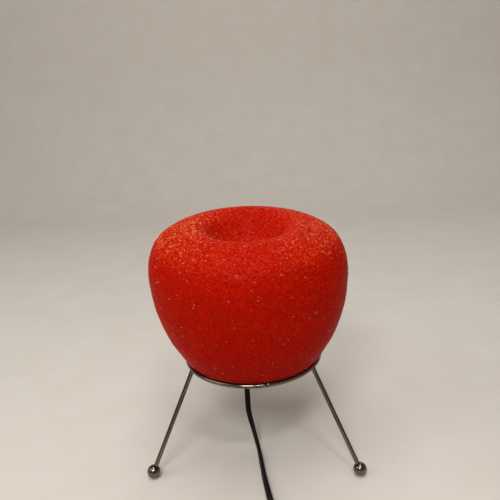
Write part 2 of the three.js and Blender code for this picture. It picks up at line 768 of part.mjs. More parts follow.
// Switch
const splitHeight = switchHeight / 2;
const pivotHeight = switchHeight - pivotDepth;
const windowHalfWidth = rockerWidth / 2 + windowGap;
const earReach = pivotDiameter / 2 + earRim;
const shankBottom = screwRecess + screwHeadHeight;
const switchEntryHeight = tableGap + splitHeight;
const posts = [[postPlace.x, -postPlace.y], [-postPlace.x, postPlace.y]];

function switchHalf(bottom, top) {
  const [width, length] = [switchWidth - 2 * switchEdge, switchLength - 2 * switchEdge];
  const outer = softened(roundedOutline(width, length, switchCorner - switchEdge), switchHeight, switchEdge);
  const [innerWidth, innerLength] = [switchWidth - 2 * switchWall, switchLength - 2 * switchWall];
  const cavityOutline = roundedOutline(innerWidth, innerLength, switchCorner - switchWall);
  const cavity = extrude(cavityOutline, switchHeight - 2 * switchWall).translate(0, 0, switchWall);
  const entry = extrude(flexOutline(fitGap, flexEndSteps), switchLength + 2 * cutOverrun);
  entry.rotateX(Math.PI / 2).translate(0, switchLength / 2 + cutOverrun, splitHeight);
  const reach = [switchWidth, switchLength];
  const kept = block([-reach[0], -reach[1], bottom], [...reach, top]);
  return common(cut(outer, cavity, entry), kept);
}

function standing(geometries) {
  return geometries.flatMap((make) => posts.map(([x, y]) => make().translate(x, y, 0)));
}

function pivotRod(reach, diameter) {
  return rod(new THREE.Vector3(-reach, 0, 0), new THREE.Vector3(reach, 0, 0), diameter);
}

function buildSwitch() {
  const split = fitGap / 2;
  const shankHole = shankDiameter + 2 * fitGap;
  const headHole = screwHeadDiameter + 2 * fitGap;
  const lowerPosts = standing([() => disc(postDiameter, switchWall / 2, splitHeight - split)]);
  const lowerBores = standing([
    () => disc(shankHole, -cutOverrun, splitHeight + cutOverrun),
    () => disc(headHole, -cutOverrun, shankBottom + fitGap),
  ]);
  const lower = cut(join(switchHalf(-cutOverrun, splitHeight - split), ...lowerPosts), ...lowerBores);
  addPiece(switchGroup, 'switch_lower', lower, 'blackPlastic');

  const ceiling = switchHeight - switchWall;
  const upperPosts = standing([() => disc(postDiameter, splitHeight + split, ceiling + switchWall / 2)]);
  const boreTop = shankBottom + shankLength + fitGap;
  const upperBores = standing([() => disc(shankHole, splitHeight - cutOverrun, boreTop)]);
  const halfWindow = rockerLength / 2 + windowGap;
  const window = block([-windowHalfWidth, -halfWindow, ceiling - cutOverrun],
    [windowHalfWidth, halfWindow, switchHeight + cutOverrun]);
  const ears = [-1, 1].map((side) => {
    const middle = side * (windowHalfWidth + earThickness / 2);
    const bottom = pivotHeight - earReach;
    return block([middle - earThickness / 2, -earReach, bottom],
      [middle + earThickness / 2, earReach, ceiling + switchWall / 2]);
  });
  const holeReach = windowHalfWidth + earThickness + windowGap;
  const pivotHole = pivotRod(holeReach, pivotDiameter + 2 * fitGap).translate(0, 0, pivotHeight);
  const cover = cut(switchHalf(splitHeight + split, switchHeight + cutOverrun), window);
  const upper = cut(join(cover, ...upperPosts, ...ears), ...upperBores, pivotHole);
  addPiece(switchGroup, 'switch_upper', upper, 'blackPlastic');

  const screwOutline = [[0, screwRecess], [screwHeadDiameter / 2, screwRecess],
    [screwHeadDiameter / 2, shankBottom], [shankDiameter / 2, shankBottom],
    [shankDiameter / 2, shankBottom + shankLength], [0, shankBottom + shankLength]];
  addCopies(switchGroup, 'switch_screw', standing([() => revolve(screwOutline, smallSides)]), 'zinc');

  const terminals = [-1, 1].map((side) => {
    const [x, y] = [(side * terminalSpacing) / 2, side * postPlace.y];
    return block([x - terminalWidth / 2, y - terminalLength / 2, switchWall + fitGap],
      [x + terminalWidth / 2, y + terminalLength / 2, switchWall + fitGap + terminalHeight]);
  });
  addCopies(switchGroup, 'switch_terminal', terminals, 'brass');
}

function buildRocker() {
  const radius = rockerLength / 2;
  const corner = THREE.MathUtils.radToDeg(Math.asin((pivotDepth + rockerRise) / radius));
  const foot = radius * Math.cos(THREE.MathUtils.degToRad(rockerSkirtTurn));
  const outline = [
    [-foot, -rockerDrop], [foot, -rockerDrop], ...arc([0, 0], radius, -rockerSkirtTurn, corner),
    [0, pivotDepth + rockerRise - rockerDip], ...arc([0, 0], radius, 180 - corner, 180 + rockerSkirtTurn),
  ];
  const paddle = extrude(outline, rockerWidth).translate(0, 0, -rockerWidth / 2);
  const axes = [new THREE.Vector3(0, 1, 0), upward, new THREE.Vector3(1, 0, 0)];
  paddle.applyMatrix4(new THREE.Matrix4().makeBasis(...axes));
  const reach = rockerWidth / 2 + pivotLength;
  const paddleAndPins = join(paddle, pivotRod(reach, pivotDiameter));
  const rocker = addPiece(switchGroup, 'switch_rocker', paddleAndPins, 'blackPlastic');
  rocker.position.z = pivotHeight;
  rocker.rotation.x = -THREE.MathUtils.degToRad(rockerTilt);
}

// Plug
const plugFace = plugReliefLength + plugLength;
const plugMiddle = tableGap + plugThickness / 2;

function plugRelief() {
  const bands = 2 * plugGrooves + 1;
  const length = plugReliefLength + 2 * plugEdge;
  const rings = [];
  for (let band = 0; band < bands; band += 1) {
    for (const edge of [band, band + 1]) {
      const share = edge / bands;
      const groove = band % 2 === 1 ? plugGrooveDepth : 0;
      const rim = THREE.MathUtils.lerp(plugReliefRim, plugReliefRootRim, share) - groove;
      rings.push(flexOutline(rim, flexEndSteps).map(([y, z]) => new THREE.Vector3(share * length, y, z)));
    }
  }
  return skin(rings);
}

function plugHandle() {
  const [neck, face] = [plugNeckWidth / 2 - plugEdge, plugWidth / 2 - plugEdge];
  const [start, end] = [plugReliefLength + plugEdge, plugFace - plugEdge];
  const shoulder = end + plugEdge - plugFaceDepth;
  const side = Array.from({ length: shoulderSteps + 1 }, (_, i) => {
    const share = i / shoulderSteps;
    const widening = smoothStep(share);
    return [THREE.MathUtils.lerp(start, shoulder, share), THREE.MathUtils.lerp(neck, face, widening)];
  });
  side.push([end, face]);
  const outline = [...side.map(([x, y]) => [x, -y]), ...side.reverse()];
  return softened(outline, plugThickness, plugEdge).translate(0, 0, -plugThickness / 2);
}

function alongPins(geometry) {
  const places = [-1, 1].map((side) => (side * pinSpacing) / 2);
  return places.map((y) => geometry.clone().rotateY(Math.PI / 2).translate(plugFace, y, 0));
}

function buildPlug() {
  const entry = extrude(flexOutline(fitGap, flexEndSteps), entryDepth + cutOverrun);
  const axes = [new THREE.Vector3(0, 1, 0), upward, new THREE.Vector3(1, 0, 0)];
  entry.applyMatrix4(new THREE.Matrix4().makeBasis(...axes)).translate(-cutOverrun, 0, 0);
  const coreHole = pinCoreDiameter + 2 * fitGap;
  const bores = alongPins(disc(coreHole, -pinRoot - fitGap, cutOverrun));
  addPiece(plugGroup, 'plug_body', cut(join(plugHandle(), plugRelief()), entry, ...bores), 'blackPlastic');

  const [core, full] = [pinCoreDiameter / 2, pinDiameter / 2];
  const pin = revolve([[0, -pinRoot], [core, -pinRoot], [core, pinSleeveLength], [full, pinSleeveLength],
    [full, pinLength - pinChamfer], [full - pinChamfer, pinLength], [0, pinLength]], roundSides);
  addCopies(plugGroup, 'plug_pin', alongPins(pin), 'tin');
  const sleeve = tube(pinDiameter, coreHole, fitGap, pinSleeveLength - fitGap);
  addCopies(plugGroup, 'plug_sleeve', alongPins(sleeve), 'blackPlastic');
}

// Flex runs
function buildFlexRuns() {
  const tip = reliefAt(reliefLength);
  const leadHead = [fitGap, flexThin].map((length) => tip.place.clone().addScaledVector(tip.heading, length));
  const halfSwitch = switchLength / 2;
  const inside = halfSwitch - entryDepth + fitGap;
  const switchEnd = (side, reach) => (
    new THREE.Vector3(switchPlace.x, switchPlace.y + side * reach, switchEntryHeight)
  );
  const lead = [
    ...leadHead.map((point) => withTwist(point, 0)), ...leadRoute,
    withTwist(switchEnd(1, halfSwitch + flexThin), 0), withTwist(switchEnd(1, inside), 0),
  ];
  const coilMouth = coilStart.clone().add(new THREE.Vector3(fitGap, 0, 0));
  const tail = [
    withTwist(switchEnd(-1, inside), 0), withTwist(switchEnd(-1, halfSwitch + flexThin), 0),
    ...tailRoute, withTwist(coilMouth, 90),
  ];
  const plugEnd = (reach) => new THREE.Vector3(plugPlace.x + reach, plugPlace.y, plugMiddle);
  const coilExit = [fitGap, flexThin].map((length) => coilEnd.clone().add(new THREE.Vector3(0, -length, 0)));
  const end = [
    ...coilExit.map((point) => withTwist(point, 90)), ...endRoute,
    withTwist(plugEnd(flexThin), 0), withTwist(plugEnd(fitGap - entryDepth), 0),
  ];
  const level = (tangent) => upward.clone().cross(tangent);
  const total = buildFlex('cord_lead', lead, () => new THREE.Vector3(1, 0, 0))
    + buildFlex('cord_tail', tail, level) + buildFlex('cord_end', end, level) + buildCoil();
  console.log(`Flex: ${total.toFixed(0)} mm in all`);
}

// Assembly
buildRing();
Object.entries(legTurns).forEach(([side, turn]) => buildLeg(side, turn));
buildShade();
buildBracket();
buildNipple();
buildHolder();
buildBulb();
buildRelief();
buildFlexRuns();
buildTie();
buildSwitch();
buildRocker();
buildPlug();

switchGroup.position.set(switchPlace.x, switchPlace.y, tableGap);
plugGroup.position.set(plugPlace.x, plugPlace.y, plugMiddle);
plugGroup.rotation.z = Math.PI;

// The footprint's middle lies between the rear foot and the front of the shade
const rearReach = footCircleDiameter / 2 + ballRadius;
lamp.position.y = -(rearReach - shadeRadius) / 2;

const tableLamp = new THREE.Group();
tableLamp.add(lamp);

export default tableLamp;
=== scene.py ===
"""Looks of the tomato-shaped table lamp: granule shade, chrome wire tripod, lampholder, bulb and flex.

Meshes are made in millimetres about the ring's axis and are then put into the part's frame, in metres.
"""

import logging
import math
import random
from dataclasses import dataclass, field
from enum import Enum
from typing import Callable, Iterable, Sequence

import bmesh
import bpy
from mathutils import Matrix, Vector


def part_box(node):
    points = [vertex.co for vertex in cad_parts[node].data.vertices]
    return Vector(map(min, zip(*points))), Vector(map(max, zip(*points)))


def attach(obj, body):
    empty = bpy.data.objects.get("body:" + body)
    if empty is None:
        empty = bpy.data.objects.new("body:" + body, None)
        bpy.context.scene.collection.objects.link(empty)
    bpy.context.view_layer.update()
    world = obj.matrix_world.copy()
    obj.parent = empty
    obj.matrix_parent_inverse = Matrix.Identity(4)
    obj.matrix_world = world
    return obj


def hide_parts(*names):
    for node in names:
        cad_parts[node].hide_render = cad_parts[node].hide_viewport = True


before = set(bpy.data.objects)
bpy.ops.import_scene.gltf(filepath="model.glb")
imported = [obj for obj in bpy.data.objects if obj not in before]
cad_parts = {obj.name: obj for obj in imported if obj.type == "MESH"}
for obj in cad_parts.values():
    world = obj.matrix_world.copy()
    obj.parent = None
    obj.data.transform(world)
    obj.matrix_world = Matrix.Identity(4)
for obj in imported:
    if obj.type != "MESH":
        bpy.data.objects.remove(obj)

LOG = logging.getLogger("table_lamp")
MILLIMETRE = 0.001
RING_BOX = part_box("stand_ring")
AXIS = Vector((0.0, (RING_BOX[0].y + RING_BOX[1].y) / 2, 0.0))
TO_FRAME = Matrix.Translation(AXIS) @ Matrix.Scale(MILLIMETRE, 4)
UP = Vector((0.0, 0.0, 1.0))

Outline = list[tuple[float, float]]


class Body(Enum):
    """The moving bodies of the part."""

    STAND = "stand"
    SHADE = "shade"
    BULB = "bulb"
    ROCKER = "rocker"


def linear(code: str) -> tuple[float, float, float, float]:
    """Turn an sRGB hex colour into a linear one.

    Args:
        code: The colour, such as "#B01C06".

    Returns:
        Linear red, green and blue, and an alpha of 1.
    """
    values = [int(code[i:i + 2], 16) / 255 for i in (1, 3, 5)]
    flat = [v / 12.92 if v <= 0.04045 else ((v + 0.055) / 1.055) ** 2.4 for v in values]
    return flat[0], flat[1], flat[2], 1.0


def add_node(tree: bpy.types.NodeTree, kind: str, settings: dict | None = None,
             links: dict | None = None) -> bpy.types.Node:
    """Add a node with its settings and links.

    Args:
        tree: The node tree that the node joins.
        kind: The node's type name, without its ShaderNode prefix.
        settings: Values by input name, input number or attribute name.
        links: Output sockets by input name or input number.

    Returns:
        The new node.
    """
    node = tree.nodes.new("ShaderNode" + kind)
    attributes = {k: v for k, v in (settings or {}).items() if isinstance(k, str) and hasattr(node, k)}
    for name, value in attributes.items():
        setattr(node, name, value)
    for name, value in (settings or {}).items():
        if name not in attributes:
            node.inputs[name].default_value = value
    for name, socket in (links or {}).items():
        tree.links.new(socket, node.inputs[name])
    return node


def ramp(tree: bpy.types.NodeTree, factor: bpy.types.NodeSocket,
         stops: Sequence[tuple[float, str]]) -> bpy.types.NodeSocket:
    """Add a colour ramp.

    Args:
        tree: The node tree that it joins.
        factor: The socket that it reads.
        stops: Places from 0 to 1 and their hex colours.

    Returns:
        The ramp's colour output.
    """
    node = add_node(tree, "ValToRGB", links={0: factor})
    elements = node.color_ramp.elements
    while len(elements) < len(stops):
        elements.new(1.0)
    for element, (place, code) in zip(elements, stops):
        element.position = place
        element.color = linear(code)
    return node.outputs["Color"]


def object_place(tree: bpy.types.NodeTree) -> bpy.types.NodeSocket:
    """Return the Object coordinates, in metres in the part's frame."""
    return add_node(tree, "TexCoord").outputs["Object"]


def grains(size_mm: float) -> float:
    """Return the texture scale at which one grain measures the given millimetres."""
    return 1 / (size_mm * MILLIMETRE)


@dataclass(frozen=True)
class Finish:
    """One finish: its name, the record's slot that it stands for, and its node tree."""

    name: str
    slot: str

    def shade(self, tree: bpy.types.NodeTree) -> bpy.types.Node:
        """Fill the tree and return the shader node; each finish has its own."""
        raise NotImplementedError

    def material(self) -> bpy.types.Material:
        """Return the finish's material, made the first time it is asked for."""
        found = bpy.data.materials.get(self.name)
        if found:
            return found
        made = bpy.data.materials.new(self.name)
        made.use_nodes = True
        tree = made.node_tree
        tree.nodes.clear()
        surface = self.shade(tree)
        add_node(tree, "OutputMaterial", links={"Surface": surface.outputs[0]})
        return made


@dataclass(frozen=True)
class BondedGranules(Finish):
    """Clear red acrylic granules bonded into a shell: deep red gaps, glinting facets, painted glints on a
    few granules and a painted light that turns the crown orange.
    """

    roughness: float = 0.17
    grain_mm: float = 1.9
    pit_depth_mm: float = 0.2
    pit_strengths: tuple[float, float] = (0.25, 0.02)
    facet_shares: tuple[float, float] = (0.5, 0.04)
    flush_tone: float = 0.84
    flush_spread: float = 0.12
    flush_rise: float = 0.72
    gloss: float = 0.035

    def shade(self, tree: bpy.types.NodeTree) -> bpy.types.Node:
        """Colour each granule by its tone, with painted glints at the top of the tones, and lighten the
        crown with painted light.
        """
        place = object_place(tree)
        tone = add_node(tree, "Attribute", {"attribute_name": "tone"})
        # The crown attribute is painted light: it mixes in the lighter, more orange high ramp where light
        # falls on the crown's rim, more from the left, and lifts the pit's shade.
        crown = add_node(tree, "Attribute", {"attribute_name": "crown"})
        # The last stops of both ramps are painted glints, which a few granules take by their tone.
        low = ramp(tree, tone.outputs["Fac"], [(0.0, "#AC0D00"), (0.4, "#BC1200"), (0.9, "#C61700"),
                                               (0.988, "#CC2204"), (0.994, "#CA3C20"),
                                               (0.999, "#D0644C")])
        high = ramp(tree, tone.outputs["Fac"], [(0.0, "#A81000"), (0.35, "#C02003"), (0.7, "#CE380F"),
                                                (0.93, "#D65C32"), (0.985, "#E08864")])
        mixed = add_node(tree, "Mix", {"data_type": "RGBA"},
                         {0: crown.outputs["Fac"], "A": low, "B": high})
        skin = add_node(tree, "Attribute", {"attribute_name": "outward"})
        facet = add_node(tree, "NewGeometry")
        chosen = add_node(tree, "Math", {"operation": "COMPARE", 1: self.flush_tone, 2: self.flush_spread},
                          {0: tone.outputs["Fac"]})
        rise = add_node(tree, "SeparateXYZ", links={0: skin.outputs["Vector"]})
        upright = add_node(tree, "Math", {"operation": "LESS_THAN", 1: self.flush_rise},
                           {0: rise.outputs["Z"]})
        flush = add_node(tree, "Math", {"operation": "MULTIPLY"},
                         {0: chosen.outputs[0], 1: upright.outputs[0]})
        turned = add_node(tree, "MapRange", {3: self.facet_shares[0], 4: self.facet_shares[1]},
                          {0: flush.outputs[0]})
        blended = add_node(tree, "Mix", {"data_type": "VECTOR"},
                           {0: turned.outputs[0], 4: skin.outputs["Vector"], 5: facet.outputs["Normal"]})
        level = add_node(tree, "VectorMath", {"operation": "NORMALIZE"}, {0: blended.outputs[1]})
        pits = add_node(tree, "TexNoise", {"Scale": grains(self.grain_mm / 3), "Detail": 2.0},
                        {"Vector": place})
        depth = add_node(tree, "MapRange", {3: self.pit_strengths[0], 4: self.pit_strengths[1]},
                         {0: flush.outputs[0]})
        relief = add_node(tree, "Bump", {"Distance": self.pit_depth_mm * MILLIMETRE},
                          {"Strength": depth.outputs[0], "Height": pits.outputs["Fac"],
                           "Normal": level.outputs[0]})
        return add_node(tree, "BsdfPrincipled",
                        {"Roughness": self.roughness, "IOR": 1.49, "Specular IOR Level": self.gloss},
                        {"Base Color": mixed.outputs["Result"], "Normal": relief.outputs["Normal"]})


@dataclass(frozen=True)
class Metal(Finish):
    """A metal by its two tones, its polish and the size of its marks, with fine marks in the gloss."""

    tones: tuple[str, str] = ("#8A8A8A", "#9A9A9A")
    polish: tuple[float, float] = (0.2, 0.35)
    mark_mm: float = 3.0
    depth_mm: float = 0.02

    def shade(self, tree: bpy.types.NodeTree) -> bpy.types.Node:
        """Vary tone and gloss with the marks, over a faint relief."""
        place = object_place(tree)
        marks = add_node(tree, "TexNoise", {"Scale": grains(self.mark_mm), "Detail": 5.0,
                                            "Roughness": 0.6}, {"Vector": place})
        tone = ramp(tree, marks.outputs["Fac"], [(0.3, self.tones[0]), (0.7, self.tones[1])])
        gloss = add_node(tree, "MapRange", {3: self.polish[0], 4: self.polish[1]},
                         {0: marks.outputs["Fac"]})
        relief = add_node(tree, "Bump", {"Strength": 0.3, "Distance": self.depth_mm * MILLIMETRE},
                          {"Height": marks.outputs["Fac"]})
        return add_node(tree, "BsdfPrincipled", {"Metallic": 1.0},
                        {"Base Color": tone, "Roughness": gloss.outputs[0],
                         "Normal": relief.outputs["Normal"]})


@dataclass(frozen=True)
class MouldedPlastic(Finish):
    """A moulded plastic by its tones, the size of its spark-eroded grain and its gloss."""

    tones: tuple[str, str] = ("#151312", "#1E1B1A")
    roughness: float = 0.48
    grain_mm: float = 0.45
    depth_mm: float = 0.03
    flow_mm: float = 14.0
    gloss_spread: float = 0.08

    def shade(self, tree: bpy.types.NodeTree) -> bpy.types.Node:
        """Lay a fine grain over a broad flow of tone."""
        place = object_place(tree)
        flow = add_node(tree, "TexNoise", {"Scale": grains(self.flow_mm), "Detail": 3.0}, {"Vector": place})
        tone = ramp(tree, flow.outputs["Fac"], [(0.3, self.tones[0]), (0.7, self.tones[1])])
        grain = add_node(tree, "TexNoise", {"Scale": grains(self.grain_mm), "Detail": 2.0},
                         {"Vector": place})
        relief = add_node(tree, "Bump", {"Strength": 0.5, "Distance": self.depth_mm * MILLIMETRE},
                          {"Height": grain.outputs["Fac"]})
        gloss = add_node(tree, "MapRange", {3: self.roughness - self.gloss_spread,
                                            4: self.roughness + self.gloss_spread},
                         {0: flow.outputs["Fac"]})
        return add_node(tree, "BsdfPrincipled", {"IOR": 1.52},
                        {"Base Color": tone, "Roughness": gloss.outputs[0],
                         "Normal": relief.outputs["Normal"]})


@dataclass(frozen=True)
class FlexSheath(Finish):
    """Black PVC sheath, extruded: satin, with faint lengthwise lines from the die and a few dull scuffs."""

    tones: tuple[str, str] = ("#0B0504", "#150C0A")
    gloss_range: tuple[float, float] = (0.35, 0.57)
    line_mm: float = 0.5
    line_length_mm: float = 83.3
    line_depth_mm: float = 0.05
    scuff_mm: float = 9.0

    def shade(self, tree: bpy.types.NodeTree) -> bpy.types.Node:
        """Draw the die's lines along the cord from its own UV map, and scuffs from its place."""
        along = add_node(tree, "TexCoord").outputs["UV"]
        stretch = (1 / self.line_length_mm, 1 / self.line_mm, 1.0)
        stretched = add_node(tree, "Mapping", {"Scale": stretch}, {"Vector": along})
        lines = add_node(tree, "TexNoise", {"Scale": 1.0, "Detail": 2.0}, {"Vector": stretched.outputs[0]})
        scuffs = add_node(tree, "TexNoise", {"Scale": grains(self.scuff_mm), "Detail": 4.0},
                          {"Vector": object_place(tree)})
        tone = ramp(tree, scuffs.outputs["Fac"], [(0.35, self.tones[0]), (0.68, self.tones[1])])
        relief = add_node(tree, "Bump", {"Strength": 0.35, "Distance": self.line_depth_mm * MILLIMETRE},
                          {"Height": lines.outputs["Fac"]})
        gloss = add_node(tree, "MapRange", {3: self.gloss_range[0], 4: self.gloss_range[1]},
                         {0: scuffs.outputs["Fac"]})
        return add_node(tree, "BsdfPrincipled", {"IOR": 1.53, "Specular IOR Level": 0.12},
                        {"Base Color": tone, "Roughness": gloss.outputs[0],
                         "Normal": relief.outputs["Normal"]})


@dataclass(frozen=True)
class TextileStrap(Finish):
    """Hook-and-loop strap: woven nylon with a raised soft pile, dull, with a slight sheen."""

    thread_mm: float = 0.9
    thread_depth_mm: float = 0.3
    fray: float = 1.5

    def shade(self, tree: bpy.types.NodeTree) -> bpy.types.Node:
        """Cross two sets of threads and fray them with noise."""
        place = object_place(tree)
        across, along = (
            add_node(tree, "TexWave", {"Scale": grains(self.thread_mm) / math.tau, "bands_direction": way,
                                       "Distortion": self.fray}, {"Vector": place})
            for way in ("Y", "DIAGONAL"))
        weave = add_node(tree, "Math", {"operation": "MULTIPLY"},
                         {0: across.outputs["Fac"], 1: along.outputs["Fac"]})
        tone = ramp(tree, weave.outputs[0], [(0.0, "#0E0E10"), (0.6, "#232327")])
        relief = add_node(tree, "Bump", {"Strength": 0.8, "Distance": self.thread_depth_mm * MILLIMETRE},
                          {"Height": weave.outputs[0]})
        return add_node(tree, "BsdfPrincipled", {"Roughness": 0.85, "Sheen Weight": 0.3},
                        {"Base Color": tone, "Normal": relief.outputs["Normal"]})


@dataclass(frozen=True)
class BlownGlass(Finish):
    """Clear blown soda glass: smooth, colourless, with the slow waviness of a blown wall."""

    wave_mm: float = 9.0
    wave_depth_mm: float = 0.3

    def shade(self, tree: bpy.types.NodeTree) -> bpy.types.Node:
        """Bend the surface slightly with a slow noise."""
        waves = add_node(tree, "TexNoise", {"Scale": grains(self.wave_mm), "Detail": 1.0},
                         {"Vector": object_place(tree)})
        relief = add_node(tree, "Bump", {"Strength": 0.1, "Distance": self.wave_depth_mm * MILLIMETRE},
                          {"Height": waves.outputs["Fac"]})
        tint = ramp(tree, waves.outputs["Fac"], [(0.3, "#F4F7F7"), (0.7, "#FBFCFC")])
        return add_node(tree, "BsdfPrincipled", {"Roughness": 0.02, "IOR": 1.52,
                                                 "Transmission Weight": 1.0},
                        {"Base Color": tint, "Normal": relief.outputs["Normal"]})


@dataclass(frozen=True)
class PaleBoard(Finish):
    """Plain pale studio board: matt, nearly white, with a faint mottle."""

    tones: tuple[str, str] = ("#D9D0C5", "#DDD5CB")
    mottle_mm: float = 60.0

    def shade(self, tree: bpy.types.NodeTree) -> bpy.types.Node:
        """Mottle the board very slightly."""
        mottle = add_node(tree, "TexNoise", {"Scale": grains(self.mottle_mm), "Detail": 3.0},
                          {"Vector": object_place(tree)})
        tone = ramp(tree, mottle.outputs["Fac"], [(0.3, self.tones[0]), (0.7, self.tones[1])])
        return add_node(tree, "BsdfPrincipled", {"Roughness": 0.9, "Specular IOR Level": 0.1},
                        {"Base Color": tone})


# Red acrylic granulate bonded with resin: glinting facets over deep red gaps, with painted glints and a
# painted light on the crown
GRANULES = BondedGranules("bonded_red_granules", "granules")
# Chrome plate on drawn steel wire: a bright gloss, its brown-grey tone a painted reflection of a dark, warm
# room
CHROME = Metal("chrome_plated_wire", "chrome", ("#6E5F55", "#807064"), (0.1, 0.17), 2.5, 0.006)
# Zinc plate on pressed steel sheet: grey, satin, slightly clouded
ZINC = Metal("zinc_plated_sheet", "zinc", ("#93948F", "#B2B3AE"), (0.3, 0.45), 4.0)
# Pressed brass, lightly tarnished: yellow with brown clouds
BRASS = Metal("pressed_brass", "brass", ("#A07B35", "#C9A552"), (0.25, 0.42), 3.0)
# Tinned or nickel-plated contact metal: pale grey, satin
TIN = Metal("tinned_contact", "tin", ("#9EA0A2", "#BDBFC1"), (0.22, 0.38), 1.6)
# Drawn tungsten: dark grey, dull
TUNGSTEN = Metal("drawn_tungsten", "tungsten", ("#4A4A4F", "#66666C"), (0.4, 0.55), 0.6)
# Moulded phenolic resin: near black, glossy, slightly mottled
PHENOLIC = MouldedPlastic("moulded_phenolic", "phenolic", ("#100D0C", "#1D1715"), 0.26, 0.9, 0.008)
# Injection-moulded ABS from a spark-eroded mould: black, satin, fine grain
BLACK_PLASTIC = MouldedPlastic("moulded_abs", "black_plastic", ("#131211", "#1D1B1A"), 0.46, 0.5, 0.03)
# Vitrified black glass of a lamp cap: glossy, faintly rippled
BLACK_GLASS = MouldedPlastic("vitrified_black_glass", "black_glass", ("#08080A", "#121216"),
                             0.14, 1.2, 0.02)
# Extruded PVC sheath: satin black, drawn lengthwise, with handling marks
FLEX = FlexSheath("extruded_pvc_sheath", "flex")
# Woven nylon strap: black, ribbed across, matt
STRAP = TextileStrap("woven_hook_and_loop", "strap")
# Blown soda-lime glass: clear and thin-walled
GLASS = BlownGlass("blown_soda_glass", "glass")
# Painted studio board: pale, matt and even
BOARD = PaleBoard("pale_studio_board", "")


def polar(radius: float, degrees: float, height: float = 0.0) -> Vector:
    """Return the point at a radius and an angle from the front, seen from above, turning to the right."""
    angle = math.radians(degrees)
    return Vector((radius * math.sin(angle), -radius * math.cos(angle), height))


def lerp(start: float, end: float, share: float) -> float:
    """Return the value at a share of the way from start to end."""
    return start + (end - start) * share


def smooth_step(value: float) -> float:
    """Ease a share from 0 to 1."""
    t = min(max(value, 0.0), 1.0)
    return t * t * (3 - 2 * t)


def eased(value: float, span: tuple[float, float]) -> float:
    """Return how far a value is through a span, eased from 0 to 1."""
    return smooth_step((value - span[0]) / (span[1] - span[0]))


def near(distance: float, fade: tuple[float, float]) -> float:
    """Return 1 within the nearer of two distances and 0 past the farther, eased between them."""
    return 1 - eased(abs(distance), fade)


def arc(radius: float, start: float, end: float, steps: int,
        centre: tuple[float, float] = (0, 0)) -> Outline:
    """Return points on an arc.

    Args:
        radius: The arc's radius.
        start: The first angle in degrees, from the axis of radius towards the axis of height.
        end: The last angle in degrees.
        steps: How many steps the arc has.
        centre: The arc's centre.

    Returns:
        The points as (radius, height).
    """
    angles = [math.radians(lerp(start, end, i / steps)) for i in range(steps + 1)]
    return [(centre[0] + radius * math.cos(a), centre[1] + radius * math.sin(a)) for a in angles]


def spline(points: Sequence[Sequence[float]], steps: int) -> list[list[float]]:
    """Run an even Catmull-Rom spline through points, as the CAD source does.

    Args:
        points: The knots, each with any number of values.
        steps: How many steps each span has.

    Returns:
        Points close together along the spline.
    """
    last = len(points) - 1
    found = []
    for i in range(last):
        p0, p1, p2, p3 = (points[min(max(k, 0), last)] for k in (i - 1, i, i + 1, i + 2))
        for j in range(steps):
            t = j / steps
            found.append([
                (2 * b - 2 * c + (c - a) / 2 + (d - b) / 2) * t ** 3
                + (3 * c - 3 * b - (c - a) - (d - b) / 2) * t ** 2 + (c - a) / 2 * t + b
                for a, b, c, d in zip(p0, p1, p2, p3)
            ])
    found.append(list(points[last]))
    return found


def evenly(points: Sequence[Sequence[float]], pitch: float, reach: int = 3) -> list[list[float]]:
    """Place points at an even pitch along a polyline.

    Args:
        points: The polyline.
        pitch: The distance wanted between points; the real one divides the length evenly.
        reach: How many of the first values count as the place.

    Returns:
        The evenly placed points, with all their values.
    """
    ends = [0.0]
    for a, b in zip(points, points[1:]):
        ends.append(ends[-1] + math.dist(a[:reach], b[:reach]))
    count = max(round(ends[-1] / pitch), 1)
    found, i = [], 0
    for k in range(count + 1):
        wanted = ends[-1] * k / count
        while i < len(points) - 2 and ends[i + 1] < wanted:
            i += 1
        share = (wanted - ends[i]) / max(ends[i + 1] - ends[i], 1e-9)
        found.append([lerp(a, b, min(share, 1.0)) for a, b in zip(points[i], points[i + 1])])
    return found


def inset(outline: Outline, depth: float) -> Outline:
    """Move an outline inwards by a depth, along its own normals."""
    found = []
    for i in range(len(outline)):
        before, after = outline[max(i - 1, 0)], outline[min(i + 1, len(outline) - 1)]
        along = Vector((after[0] - before[0], after[1] - before[1])).normalized()
        found.append((outline[i][0] - depth * along.y, outline[i][1] + depth * along.x))
    return found


def spun(outline: Outline, steps: int, closed: bool = False) -> bmesh.types.BMesh:
    """Spin an outline round the Z axis.

    Args:
        outline: Points as (radius, height), from axis to axis, or a closed loop.
        steps: How many steps the full turn has.
        closed: Whether the last point joins the first.

    Returns:
        The closed solid of revolution.
    """
    bm = bmesh.new()
    points = [bm.verts.new((r, 0.0, z)) for r, z in outline]
    pairs = list(zip(points, points[1:])) + ([(points[-1], points[0])] if closed else [])
    edges = [bm.edges.new(pair) for pair in pairs]
    bmesh.ops.spin(bm, geom=points + edges, cent=(0, 0, 0), axis=(0, 0, 1), steps=steps,
                   angle=math.tau, use_merge=True)
    tidy(bm)
    return bm


def tidy(bm: bmesh.types.BMesh, reach: float = 1e-4) -> None:
    """Merge a mesh's doubles and then turn its faces outwards."""
    bmesh.ops.remove_doubles(bm, verts=bm.verts[:], dist=reach)
    bmesh.ops.recalc_face_normals(bm, faces=bm.faces[:])


def soften(bm: bmesh.types.BMesh, width: float, segments: int = 2, angle: float = 35.0) -> None:
    """Round off the sharp edges of a mesh.

    Args:
        bm: The mesh.
        width: How far the rounding reaches.
        segments: How many faces it has across.
        angle: The least angle between faces, in degrees, that counts as sharp.
    """
    sharp = [e for e in bm.edges if e.is_manifold and e.calc_face_angle() > math.radians(angle)]
    bmesh.ops.bevel(bm, geom=sharp, offset=width, segments=segments, affect="EDGES", profile=0.5,
                    material=-1, clamp_overlap=True)


